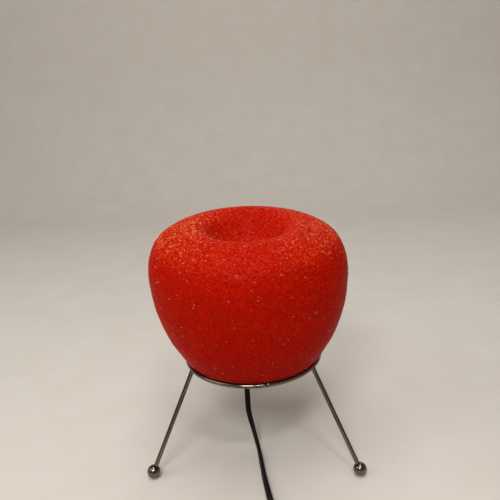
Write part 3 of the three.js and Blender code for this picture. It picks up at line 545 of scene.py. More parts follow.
def cut_thread(bm: bmesh.types.BMesh, pitch: float, depth: float, start: float, end: float,
               wall: tuple[float, float]) -> None:
    """Press a screw thread into a spun tube.

    Args:
        bm: The tube, with rings closer together than a quarter of the pitch.
        pitch: The rise of the thread in one turn.
        depth: How far the thread goes in from the tube's surface.
        start: The height where it starts.
        end: The height where it ends.
        wall: The least and greatest radius of the surface that is moved.
    """
    for vert in bm.verts:
        radius = math.hypot(vert.co.x, vert.co.y)
        if not (wall[0] <= radius <= wall[1] and start < vert.co.z < end):
            continue
        fade = smooth_step((vert.co.z - start) / pitch) * smooth_step((end - vert.co.z) / pitch)
        phase = math.tau * vert.co.z / pitch - math.atan2(vert.co.y, vert.co.x)
        shift = depth / 2 * (math.cos(phase) - 1) * fade
        vert.co.xy *= (radius + shift) / radius


def grooved(bottom: float, top: float, radius: float, pitch: float) -> Outline:
    """Return a straight run of an outline with points at a pitch, for a thread or ribs."""
    count = max(round((top - bottom) / pitch), 1)
    return [(radius, lerp(bottom, top, i / count)) for i in range(count + 1)]


def sweep(stations: Sequence[tuple[Vector, Vector, Vector]],
          profiles: Sequence[Outline]) -> bmesh.types.BMesh:
    """Draw a closed profile along stations, edge loop by edge loop, with a UV map in millimetres.

    Args:
        stations: Each place, with the directions of the profile's two axes.
        profiles: The profile at each station; all have the same number of points.

    Returns:
        The closed swept solid.
    """
    bm = bmesh.new()
    count = len(profiles[0])
    place, wide, thin = stations[0]
    loop = [bm.verts.new(place + wide * x + thin * y) for x, y in profiles[0]]
    edges = [bm.edges.new((loop[j], loop[(j + 1) % count])) for j in range(count)]
    uv = bm.loops.layers.uv.new("along")
    first, walked = list(edges), 0.0
    around = [0.0]
    for j in range(count):
        around.append(around[-1] + math.dist(profiles[0][j], profiles[0][(j + 1) % count]))
    for (place, wide, thin), profile, (before, _, _) in zip(stations[1:], profiles[1:], stations):
        made = bmesh.ops.extrude_edge_only(bm, edges=edges)["geom"]
        faces = [g for g in made if isinstance(g, bmesh.types.BMFace)]
        fresh = {v for v in made if isinstance(v, bmesh.types.BMVert)}
        ahead = [next(e.other_vert(v) for e in v.link_edges if e.other_vert(v) in fresh) for v in loop]
        reach = (place - before).length
        slots = {v: (j, 0) for j, v in enumerate(loop)} | {v: (j, 1) for j, v in enumerate(ahead)}
        for vert, (x, y) in zip(ahead, profile):
            vert.co = place + wide * x + thin * y
        for face in faces:
            places = [slots[c.vert][0] for c in face.loops]
            seam = max(places) == count - 1 and min(places) == 0
            for corner in face.loops:
                j, far = slots[corner.vert]
                j = count if seam and j == 0 else j
                corner[uv].uv = (walked + far * reach, around[j])
        walked += reach
        loop = ahead
        edges = [g for g in made if isinstance(g, bmesh.types.BMEdge) and set(g.verts) <= fresh]
    for rim in (first, edges):
        bmesh.ops.holes_fill(bm, edges=rim, sides=count)
    bmesh.ops.recalc_face_normals(bm, faces=bm.faces[:])
    return bm


def show(name: str, bm: bmesh.types.BMesh, finish: Finish, body: Body, stands_for: Iterable[str] = (),
         crease: float = 38.0) -> bpy.types.Object:
    """Put a finished mesh into the scene as a piece of the lamp.

    Args:
        name: The piece's name.
        bm: Its mesh, in millimetres about the ring's axis; it is freed.
        finish: What it is made of.
        body: The body that it rides on.
        stands_for: The CAD nodes that it replaces.
        crease: The angle in degrees past which an edge stays sharp.

    Returns:
        The piece.
    """
    mesh = bpy.data.meshes.new(name)
    bm.transform(TO_FRAME)
    bm.to_mesh(mesh)
    bm.free()
    mesh.shade_smooth()
    mesh.set_sharp_from_angle(angle=math.radians(crease))
    mesh.materials.append(finish.material())
    piece = bpy.data.objects.new(name, mesh)
    bpy.context.scene.collection.objects.link(piece)
    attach(piece, body.value)
    if stands_for:
        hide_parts(*stands_for)
    LOG.info("%s: %d faces", name, len(mesh.polygons))
    return piece


def box_mm(node: str) -> tuple[Vector, Vector]:
    """Return a CAD node's lowest and highest corners, in millimetres about the ring's axis."""
    back = TO_FRAME.inverted()
    low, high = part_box(node)
    return back @ low, back @ high


def refined(node: str, name: str, finish: Finish, body: Body, width: float = 0.3,
            segments: int = 2) -> bpy.types.Object:
    """Copy a CAD node, join its triangles into whole faces and round off its sharp edges.

    Args:
        node: The CAD node, which the copy replaces.
        name: The copy's name.
        finish: What it is made of.
        body: The body that it rides on.
        width: How far the rounding reaches, in millimetres.
        segments: How many faces the rounding has across.

    Returns:
        The piece.
    """
    bm = bmesh.new()
    bm.from_mesh(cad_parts[node].data)
    bm.transform(TO_FRAME.inverted())
    bmesh.ops.remove_doubles(bm, verts=bm.verts[:], dist=1e-3)
    bmesh.ops.dissolve_limit(bm, angle_limit=math.radians(1.5), verts=bm.verts[:], edges=bm.edges[:])
    soften(bm, width, segments)
    return show(name, bm, finish, body, [node])


@dataclass(frozen=True)
class SoftLamp:
    """A soft lamp: its power in watts, its width, where it hangs, and its height's share of the width."""

    name: str
    power: float
    size: float
    distance: float
    turn: float
    rise: float
    flatness: float = 1.0
    aim: float = 0.13

    def hang(self) -> None:
        """Hang the lamp and turn it to the object."""
        lamp = bpy.data.objects.new(self.name, bpy.data.lights.new(self.name, "AREA"))
        lamp.data.energy = self.power
        lamp.data.shape = "RECTANGLE"
        lamp.data.size = self.size
        lamp.data.size_y = self.size * self.flatness
        rise = math.radians(self.rise)
        away = polar(math.cos(rise), self.turn, math.sin(rise))
        lamp.location = away * self.distance + Vector((0, 0, self.aim))
        lamp.rotation_euler = away.to_track_quat("Z", "Y").to_euler()
        bpy.context.scene.collection.objects.link(lamp)


@dataclass
class Studio:
    """A plain pale floor that curves up behind the lamp, four soft lamps, a small one and an even fill."""

    floor_reach: float = 5.0
    floor_height: float = -0.0003
    backdrop_place: float = 1.5
    backdrop_curve: float = 0.5
    backdrop_height: float = 2.4
    lamps: tuple[SoftLamp, ...] = (
        SoftLamp("key_lamp", 9.6, 0.4, 1.6, -10.0, 42.0),
        SoftLamp("strip_lamp", 3.2, 0.26, 1.5, 15.0, 54.0, 0.17),
        SoftLamp("top_lamp", 8.8, 0.9, 1.5, 0.0, 84.0),
        SoftLamp("side_lamp", 6.2, 1.1, 1.8, -68.0, 36.0),
        SoftLamp("back_lamp", 4.0, 1.1, 1.8, 165.0, 30.0))
    fill_strength: float = 0.18
    view_strength: float = 0.86
    camera_place: tuple[float, float, float] = (0.02835, -0.47383, 0.330)
    camera_turn: float = 3.3
    camera_tip: float = 16.064
    camera_roll: float = -2.933
    camera_lens: float = 38.516

    def build(self) -> None:
        """Make the camera, the lights, the world and the floor."""
        self.camera()
        self.lights()
        self.floor()
        bpy.context.scene.view_settings.view_transform = "Standard"

    def camera(self) -> None:
        """Stand the camera where the photograph was taken."""
        camera = bpy.data.objects.new("camera", bpy.data.cameras.new("camera"))
        camera.data.lens = self.camera_lens
        camera.data.sensor_width = 36.0
        camera.data.clip_start = 0.01
        turn = (Matrix.Rotation(math.radians(self.camera_turn), 4, "Z")
                @ Matrix.Rotation(math.radians(90 - self.camera_tip), 4, "X")
                @ Matrix.Rotation(math.radians(self.camera_roll), 4, "Z"))
        camera.matrix_world = Matrix.Translation(self.camera_place) @ turn
        bpy.context.scene.collection.objects.link(camera)
        bpy.context.scene.camera = camera

    def lights(self) -> None:
        """Hang the lamps and set the world's even fill."""
        for lamp in self.lamps:
            lamp.hang()
        world = bpy.data.worlds.new("studio")
        world.use_nodes = True
        tree = world.node_tree
        tree.nodes.clear()
        path = add_node(tree, "LightPath")
        seen = add_node(tree, "Math", {"operation": "MAXIMUM"},
                        {0: path.outputs["Is Camera Ray"], 1: path.outputs["Is Transmission Ray"]})
        strength = add_node(tree, "MapRange", {3: self.fill_strength, 4: self.view_strength},
                            {0: seen.outputs[0]})
        background = add_node(tree, "Background", {"Color": linear("#FFFDFA")},
                              {"Strength": strength.outputs[0]})
        add_node(tree, "OutputWorld", links={"Surface": background.outputs[0]})
        bpy.context.scene.world = world

    def floor(self) -> None:
        """Lay the board and bend its rear end up into a backdrop."""
        bm = bmesh.new()
        rail = [bm.verts.new((x, -self.floor_reach, self.floor_height))
                for x in (-self.floor_reach, self.floor_reach)]
        edges = [bm.edges.new(rail)]
        bend = arc(self.backdrop_curve, -90, 0, 16,
                   (self.backdrop_place - self.backdrop_curve, self.floor_height + self.backdrop_curve))
        for y, z in bend + [(self.backdrop_place, self.backdrop_height)]:
            made = bmesh.ops.extrude_edge_only(bm, edges=edges)["geom"]
            for vert in (g for g in made if isinstance(g, bmesh.types.BMVert)):
                vert.co.yz = (y, z)
            edges = [g for g in made if isinstance(g, bmesh.types.BMEdge)
                     and all(abs(v.co.y - y) < 1e-6 for v in g.verts)]
        bmesh.ops.recalc_face_normals(bm, faces=bm.faces[:])
        mesh = bpy.data.meshes.new("floor")
        bm.to_mesh(mesh)
        bm.free()
        mesh.shade_smooth()
        mesh.materials.append(BOARD.material())
        floor = bpy.data.objects.new("floor", mesh)
        bpy.context.scene.collection.objects.link(floor)


@dataclass
class WireStand:
    """The chrome wire tripod: a butt-jointed ring, three brazed legs and their turned ball feet."""

    wire: float = 4.0
    ring_diameter: float = 124.2
    ring_height: float = 95.6
    foot_circle: float = 215.0
    ball_diameter: float = 12.0
    ball_flat: float = 3.0
    joint_gap: float = 0.5
    joint_turn: float = 11.6
    joint_slant: float = 35.0
    joint_fade: float = 5.0
    ring_steps: int = 176
    wire_sides: int = 24
    legs: dict[str, float] = field(default_factory=lambda: {"left": -60.0, "right": 60.0, "rear": 180.0})
    fillet_reach: float = 6.0
    fillet_rise: float = 1.5
    fillet_top: float = 1.2
    fillet_power: float = 2.6
    fillet_pitch: float = 0.4
    fillet_rings: int = 12
    wire_inset: float = 1.0
    wire_stop: float = 0.5
    joint_edge: float = 0.2
    neck_rim: float = 0.55
    neck_step: tuple[float, float] = (0.35, 0.25)
    neck_floor: tuple[float, float] = (-0.1, 0.2)

    @property
    def ball_height(self) -> float:
        """Return the height of a ball's centre above the table."""
        return math.sqrt((self.ball_diameter / 2) ** 2 - (self.ball_flat / 2) ** 2)

    def leg_line(self, turn: float) -> tuple[Vector, Matrix, float]:
        """Return a leg's foot, its upright direction as a turn, and its length up to the ring's wire."""
        foot = polar(self.foot_circle / 2, turn, self.ball_height)
        span = polar(self.ring_diameter / 2, turn, self.ring_height) - foot
        across = polar(1.0, turn + 90)
        axis = span.normalized()
        basis = Matrix((across, axis.cross(across), axis)).transposed().to_4x4()
        return foot, Matrix.Translation(foot) @ basis, span.length

    def build(self) -> None:
        """Make the ring, the legs and the ball feet."""
        self.ring()
        for side, turn in self.legs.items():
            self.leg(side, turn)
            self.foot_ball(side, turn)

    def ring(self) -> None:
        """Bend the ring from wire and leave its slanted butt joint open."""
        radius, wire = self.ring_diameter / 2, self.wire / 2
        gap = self.joint_gap / math.cos(math.radians(self.joint_slant)) / radius
        bm = bmesh.new()
        place = (Matrix.Rotation(gap / 2, 4, "Z") @ Matrix.Translation((0, -radius, self.ring_height))
                 @ Matrix.Rotation(math.pi / 2, 4, "Y"))
        bmesh.ops.create_circle(bm, segments=self.wire_sides, radius=wire, matrix=place)
        bmesh.ops.spin(bm, geom=bm.verts[:] + bm.edges[:], cent=(0, 0, 0), axis=(0, 0, 1),
                       steps=self.ring_steps, angle=math.tau - gap)
        bmesh.ops.holes_fill(bm, edges=[e for e in bm.edges if e.is_boundary], sides=self.wire_sides)
        slope = math.tan(math.radians(self.joint_slant)) / radius
        for vert in bm.verts:
            apart = math.degrees(math.atan2(vert.co.x, -vert.co.y))
            fade = 1 - smooth_step((abs(apart) - math.degrees(gap) / 2) / self.joint_fade)
            turn = (math.hypot(vert.co.x, vert.co.y) - radius) * slope * fade
            vert.co = Matrix.Rotation(turn + math.radians(self.joint_turn), 3, "Z") @ vert.co
        bmesh.ops.recalc_face_normals(bm, faces=bm.faces[:])
        soften(bm, self.joint_edge, 2, 60)
        show("wire_ring", bm, CHROME, Body.STAND, ["stand_ring"])

    def leg(self, side: str, turn: float) -> None:
        """Draw a straight leg whose top flows into the ring through its braze."""
        _, place, length = self.leg_line(turn)
        wire = self.wire / 2
        rings = [length - self.fillet_reach + i * self.fillet_pitch for i in range(self.fillet_rings)]
        outline = [(0.0, self.wire_inset), (wire, self.wire_inset)] + [(wire, z) for z in rings]
        outline += [(wire, length - self.wire_stop), (0.0, length - self.wire_stop)]
        bm = spun(outline, self.wire_sides)
        for vert in bm.verts:
            drop = length - vert.co.z
            radius = math.hypot(vert.co.x, vert.co.y)
            if self.fillet_top < drop < self.fillet_reach and radius > wire / 2:
                share = 1 - (drop - self.fillet_top) / (self.fillet_reach - self.fillet_top)
                swell = self.fillet_rise / wire * share ** self.fillet_power
                vert.co.x *= 1 + swell * abs(vert.co.x / radius)
        bm.transform(place)
        show(f"wire_leg_{side}", bm, CHROME, Body.STAND, [f"leg_{side}"])

    def foot_ball(self, side: str, turn: float) -> None:
        """Turn a ball with a small neck round the leg, and flatten it where it stands."""
        _, place, _ = self.leg_line(turn)
        radius, wire = self.ball_diameter / 2, self.wire / 2
        neck = math.degrees(math.acos((wire + self.neck_rim) / radius))
        round_part = arc(radius, -90, neck, 30)
        top = round_part[-1][1]
        step, floor = self.neck_step, self.neck_floor
        outline = [(0.0, -radius)] + round_part[1:] + [
            (wire + step[0], top - step[1]), (wire + floor[0], top - floor[1]), (0.0, top - floor[1])]
        bm = spun(outline, 40)
        bm.transform(place)
        bmesh.ops.bisect_plane(bm, geom=bm.verts[:] + bm.edges[:] + bm.faces[:], plane_co=(0, 0, 0),
                               plane_no=(0, 0, -1), clear_outer=True)
        bmesh.ops.holes_fill(bm, edges=[e for e in bm.edges if e.is_boundary], sides=0)
        bmesh.ops.recalc_face_normals(bm, faces=bm.faces[:])
        show(f"ball_foot_{side}", bm, CHROME, Body.STAND, [f"foot_ball_{side}"])


@dataclass(frozen=True)
class CoatBand:
    """One band of the granule coat, between two shares of the outline's length."""

    name: str
    start: float
    end: float


@dataclass
class GranuleShade:
    """The hollow shade: a bonded wall whose faces are coated with separate granules, a few of them painted
    as glints, and painted light on the crown.
    """

    diameter: float = 178.2
    height: float = 132.2
    wall: float = 4.0
    mouth: float = 103.0
    pit_depth: float = 25.0
    crown_lean: float = 5.1
    crown_turn: float = 11.0
    crown_shift: float = 1.0
    lean_fade: tuple[float, float] = (0.16, 0.96)
    belly: tuple[tuple[float, float], ...] = (
        (0.709, 0.082), (0.802, 0.18), (0.866, 0.26), (0.907, 0.333), (0.939, 0.4), (0.967, 0.472),
        (0.985, 0.548), (0.997, 0.638), (1, 0.714), (0.978, 0.809), (0.91, 0.904), (0.79, 0.959),
        (0.668, 0.988), (0.566, 1))
    pit: tuple[tuple[float, float], ...] = (
        (0.475, 0.06), (0.405, 0.2), (0.325, 0.47), (0.23, 0.78), (0.115, 0.96), (0, 1))
    pitch: float = 1.9
    row_share: float = 0.866
    granule: float = 1.12
    granule_range: tuple[float, float] = (0.8, 1.12)
    granule_stretch: tuple[float, float] = (0.85, 1.1)
    granule_slide: float = 0.35
    granule_stray: float = 0.22
    coat_depth: float = 0.8
    tip_reach: float = 0.5
    tip_spread: float = 0.4
    # Granules past the painted glint tone take the ramps' painted glint colours and are made smaller.
    painted_glint_tone: float = 0.985
    painted_glint_size: float = 0.8
    wall_tone: float = 0.12
    seat_height: float = 7.8
    seat_sink: float = 0.25
    seat_fade: tuple[float, float] = (2.0, 4.0)
    lip_height: float = 10.8
    lip_reach: float = 0.5
    lip_fade: tuple[float, float] = (0.8, 1.8)
    # The crown_light fields place painted light on the crown: from above at its rim, more on the left than
    # the right, least at the front and back, and a little in the pit to lift its shade.
    crown_light_rise: tuple[float, float] = (0.84, 0.94)
    crown_light_rim: tuple[float, float] = (30.0, 50.0)
    crown_light_front: float = 0.14
    crown_light_right: float = 0.55
    crown_light_pit: float = 0.12
    batch_size: int = 900
    sides: int = 120
    seed: int = 11
    bands: tuple[CoatBand, ...] = (
        CoatBand("shade_coat_low", 0.0, 0.27), CoatBand("shade_coat_belly", 0.27, 0.44),
        CoatBand("shade_coat_shoulder", 0.44, 0.61), CoatBand("shade_coat_crown", 0.61, 1.0))
    inside_sink: float = -1.4
    inside_bands: tuple[CoatBand, ...] = (
        CoatBand("shade_lining_low", 0.0, 0.16), CoatBand("shade_lining_high", 0.16, 0.32))

    def __post_init__(self) -> None:
        """Work out the outline from its shares, and the seat from the CAD shell."""
        radius = self.diameter / 2
        knots = [(self.mouth / 2, 0.0)]
        knots += [(r * radius, z * self.height) for r, z in self.belly]
        knots += [(r * radius, self.height - z * self.pit_depth) for r, z in self.pit]
        self.outline: Outline = [tuple(p) for p in evenly(spline(knots, 24), 0.5, 2)]
        self.seat = box_mm("shade_shell")[0].z
        self.uphill = polar(math.tan(math.radians(self.crown_lean)), 180 + self.crown_turn)

    def leaned(self, point: Vector) -> Vector:
        """Lean a point of the upright shell with the crown, and lift it onto its seat."""
        start, end = self.lean_fade
        fade = smooth_step((point.z / self.height - start) / (end - start))
        rise = self.uphill.dot(point) * fade
        return point + Vector((-self.crown_shift * fade, 0, rise + self.seat))

    def build(self) -> None:
        """Make the wall and its coats of granules."""
        rng = random.Random(self.seed)
        self.core()
        for band in self.bands:
            self.coat(band, self.outline, rng)
        inner = inset(self.outline, self.wall)
        for band in self.inside_bands:
            self.coat(band, inner, rng, self.inside_sink, -1)

    def core(self) -> None:
        """Spin the wall that holds the granules, a little inside their tips."""
        outer = [tuple(p) for p in evenly(inset(self.outline, self.coat_depth), 2.5, 2)]
        inner = [tuple(p) for p in evenly(inset(self.outline, self.wall), 4.0, 2)]
        loop = [(0.0, inner[-1][1])] + inner[-2::-1] + outer[:-1] + [(0.0, outer[-1][1])]
        bm = spun(loop, self.sides)
        for vert in bm.verts:
            vert.co = self.leaned(vert.co)
        bmesh.ops.recalc_face_normals(bm, faces=bm.faces[:])
        piece = show("shade_wall", bm, GRANULES, Body.SHADE, ["shade_shell"], 60)
        points = [vert.co for vert in piece.data.vertices]
        self.paint(piece, "tone", [self.wall_tone] * len(points))
        self.paint(piece, "crown", [self.painted_crown_light(TO_FRAME.inverted() @ point) for point in points])
        self.paint_outward(piece, [vert.normal for vert in piece.data.vertices])

    def coat(self, band: CoatBand, outline: Outline, rng: random.Random, sink: float = 0.0,
             side: int = 1) -> None:
        """Set granules in rows over one band of a face.

        Args:
            band: The band, by shares of the outline's length.
            outline: The face's outline, from the mouth to the axis.
            rng: The source of the rows' jitter.
            sink: How far the granules lie below the face, towards the axis.
            side: 1 where the face looks outwards, -1 where it looks inwards.
        """
        rows = evenly(outline, self.pitch * self.row_share, 2)
        backs = inset([tuple(row) for row in rows], 1.0)
        count = len(rows)
        tones: list[float] = []
        crown_lights: list[float] = []
        outwards: list[Vector] = []
        coat = bmesh.new()
        batch = bmesh.new()
        for i in range(int(band.start * count), int(band.end * count)):
            inward = Vector((backs[i][0] - rows[i][0], backs[i][1] - rows[i][1]))
            number = max(round(math.tau * rows[i][0] / self.pitch), 1)
            phase = rng.random()
            for j in range(number):
                tone = rng.random()
                size = self.granule * rng.uniform(*self.granule_range)
                size *= self.painted_glint_size if tone > self.painted_glint_tone else 1.0
                depth = size + sink - self.tip_reach + rng.uniform(0, self.tip_spread)
                depth += self.seat_sink * near(rows[i][1] - self.seat_height, self.seat_fade)
                if side > 0:
                    depth -= self.lip_reach * near(rows[i][1] - self.lip_height, self.lip_fade)
                slide = rng.uniform(-self.granule_slide, self.granule_slide)
                radius = max(rows[i][0] + inward.x * depth - inward.y * slide, 0.0)
                turn = 360 * (j + phase + rng.uniform(-self.granule_stray, self.granule_stray)) / number
                centre = self.leaned(polar(radius, turn, rows[i][1] + inward.y * depth + inward.x * slide))
                face = self.leaned(polar(rows[i][0], turn, rows[i][1]))
                back = self.leaned(polar(rows[i][0] + inward.x, turn, rows[i][1] + inward.y))
                spin = Matrix.Rotation(rng.uniform(0, math.tau), 4, (rng.gauss(0, 1), rng.gauss(0, 1), 1.0))
                stretch = Matrix.Diagonal((rng.uniform(*self.granule_stretch),
                                           rng.uniform(*self.granule_stretch), 1.0, 1.0))
                bmesh.ops.create_icosphere(batch, subdivisions=1, radius=size,
                                           matrix=Matrix.Translation(centre) @ spin @ stretch)
                tones.append(tone)
                crown_lights.append(self.painted_crown_light(centre))
                outwards.append((face - back).normalized() * side)
                if len(batch.verts) > self.batch_size:
                    batch = self.pour(batch, coat)
        self.pour(batch, coat).free()
        piece = show(band.name, coat, GRANULES, Body.SHADE, [], 1)
        corners = len(piece.data.vertices) // len(tones)
        self.paint(piece, "tone", [tone for tone in tones for _ in range(corners)])
        self.paint(piece, "crown", [share for share in crown_lights for _ in range(corners)])
        self.paint_outward(piece, [way for way in outwards for _ in range(corners)])

    @staticmethod
    def pour(batch: bmesh.types.BMesh, coat: bmesh.types.BMesh) -> bmesh.types.BMesh:
        """Add a small batch of granules to a coat, which is far quicker than making them in it.

        Args:
            batch: The granules; it is freed.
            coat: The mesh that they join.

        Returns:
            An empty batch.
        """
        carrier = bpy.data.meshes.new("batch")
        batch.to_mesh(carrier)
        batch.free()
        coat.from_mesh(carrier)
        bpy.data.meshes.remove(carrier)
        return bmesh.new()

    @staticmethod
    def paint(piece: bpy.types.Object, name: str, values: Sequence[float]) -> None:
        """Store a value for each vertex, which the granules' finish reads."""
        piece.data.attributes.new(name, "FLOAT", "POINT").data.foreach_set("value", values)

    @staticmethod
    def paint_outward(piece: bpy.types.Object, ways: Sequence[Vector]) -> None:
        """Store the shell's outward direction for each vertex, which eases the facets' shading."""
        layer = piece.data.attributes.new("outward", "FLOAT_VECTOR", "POINT").data
        layer.foreach_set("vector", [value for way in ways for value in way])

    def painted_crown_light(self, point: Vector) -> float:
        """Return the share of painted light at a point: most on the crown's rim, more on the left than the
        right, a little in the pit to lift its shade, none on the belly.
        """
        radius = math.hypot(point.x, point.y)
        level = (point.z - self.seat - self.uphill.dot(point)) / self.height
        rise, rim = eased(level, self.crown_light_rise), eased(radius, self.crown_light_rim)
        side = (point.x / max(radius, 1e-6)) ** 2 * (1.0 if point.x < 0 else self.crown_light_right)
        pit = self.crown_light_pit * (1 - rim) if point.z - self.seat > self.height / 2 else 0.0
        return max(rise * rim * lerp(self.crown_light_front, 1.0, side), pit)


@dataclass
class LampHolder:
    """The bracket under the ring and the threaded E14 holder that it carries."""

    nipple_bore: float = 3.5
    nipple_radius: float = 5.0
    nipple_hole: float = 5.3
    radius: float = 13.8
    wall: float = 2.0
    chamfer: float = 3.0
    boss_depth: float = 9.0
    spigot: tuple[float, float] = (10.1, 11.5)
    skirt: float = 12.1
    spigot_length: float = 6.0
    shoulder: float = 8.0
    ribs: int = 36
    rib_depth: float = 0.35
    rib_fade: float = 1.5
    cap_ribs: tuple[float, float] = (5.0, 2.0)
    sleeve_ribs: tuple[float, float] = (3.0, 6.0)
    sleeve_edges: tuple[float, float] = (0.4, 0.8)
    nipple_thread: tuple[float, float] = (1.0, 0.5)
    shell_thread: tuple[float, float] = (2.8, 0.4)
    shell_wall: float = 0.5
    steps: int = 144

    def build(self) -> None:
        """Make the bracket, the nipple with its nut and washer, and the holder."""
        refined("holder_bracket", "sheet_bracket", ZINC, Body.STAND, 0.35)
        refined("nipple_nut", "hexagon_nut", ZINC, Body.STAND, 0.3)
        refined("nipple_washer", "plain_washer", ZINC, Body.STAND, 0.15)
        self.nipple()
        self.cap()
        self.sleeve()
        self.shell()
        refined("holder_insert", "contact_block", PHENOLIC, Body.STAND, 0.3)
        refined("holder_contact", "centre_tongue", BRASS, Body.STAND, 0.15)
        for side in (1, 2):
            refined(f"holder_screw_{side}", f"holder_terminal_head_{side}", BRASS, Body.STAND, 0.25)

    def nipple(self) -> None:
        """Cut an M10 thread of 1 mm pitch on the hollow nipple."""
        low, high = (corner.z for corner in box_mm("holder_nipple"))
        rise = grooved(low, high, self.nipple_radius, 0.25)
        bm = spun(rise + [(self.nipple_bore, high), (self.nipple_bore, low)], 40, True)
        reach = (self.nipple_radius - 0.1, self.nipple_radius + 0.1)
        cut_thread(bm, *self.nipple_thread, low, high, reach)
        show("threaded_nipple", bm, ZINC, Body.STAND, ["holder_nipple"])

    def rib(self, bm: bmesh.types.BMesh, start: float, end: float) -> None:
        """Press grip ribs into the outside between two heights."""
        for vert in bm.verts:
            radius = math.hypot(vert.co.x, vert.co.y)
            if radius > self.radius - 0.05 and start < vert.co.z < end:
                fade = smooth_step((vert.co.z - start) / self.rib_fade)
                fade *= smooth_step((end - vert.co.z) / self.rib_fade)
                wave = math.cos(self.ribs * math.atan2(vert.co.y, vert.co.x)) - 1
                vert.co.xy *= (radius + wave * fade * self.rib_depth / 2) / radius

    def cap(self) -> None:
        """Mould the ribbed cap that screws onto the nipple."""
        low, high = (corner.z for corner in box_mm("holder_cap"))
        inner = self.radius - self.wall
        corner = (self.radius - self.chamfer, low + self.chamfer)
        outline = [(self.nipple_hole, low)] + arc(self.chamfer, -90, 0, 6, corner)
        outline += grooved(low + self.chamfer + 0.5, high, self.radius, 1.0)
        boss = low + self.boss_depth
        outline += [(inner, high), (inner, boss), (self.nipple_hole, boss)]
        bm = spun(outline, self.steps, True)
        self.rib(bm, low + self.cap_ribs[0], high - self.cap_ribs[1])
        show("holder_cap_ribbed", bm, PHENOLIC, Body.STAND, ["holder_cap"])

    def sleeve(self) -> None:
        """Mould the sleeve, with its spigot below and its ribbed grip."""
        low, high = (corner.z for corner in box_mm("holder_sleeve"))
        seat = low + self.spigot_length
        bore, spigot = self.spigot
        foot, lip = self.sleeve_edges
        outline = [(bore, low), (spigot, low), (spigot, seat)]
        outline += [(self.radius - foot, seat), (self.radius, seat + foot)]
        outline += grooved(seat + 1, high - 1, self.radius, 1.0)
        outline += arc(lip, 0, 90, 4, (self.radius - lip, high - lip))[1:]
        outline += [(self.skirt, high), (self.skirt, seat + self.shoulder), (bore, seat + self.shoulder)]
        bm = spun(outline, self.steps, True)
        self.rib(bm, seat + self.sleeve_ribs[0], high - self.sleeve_ribs[1])
        show("holder_sleeve_ribbed", bm, PHENOLIC, Body.STAND, ["holder_sleeve"])

    def shell(self) -> None:
        """Roll the E14 thread into the brass screw shell."""
        low, high = box_mm("holder_shell")
        outer = high.x
        inside = grooved(low.z, high.z, outer - self.shell_wall, 0.5)
        bm = spun(grooved(low.z, high.z, outer, 0.5) + inside[::-1], 64, True)
        cut_thread(bm, *self.shell_thread, low.z, high.z, (outer - 0.1, outer + 0.1))
        show("screw_shell", bm, BRASS, Body.STAND, ["holder_shell"])


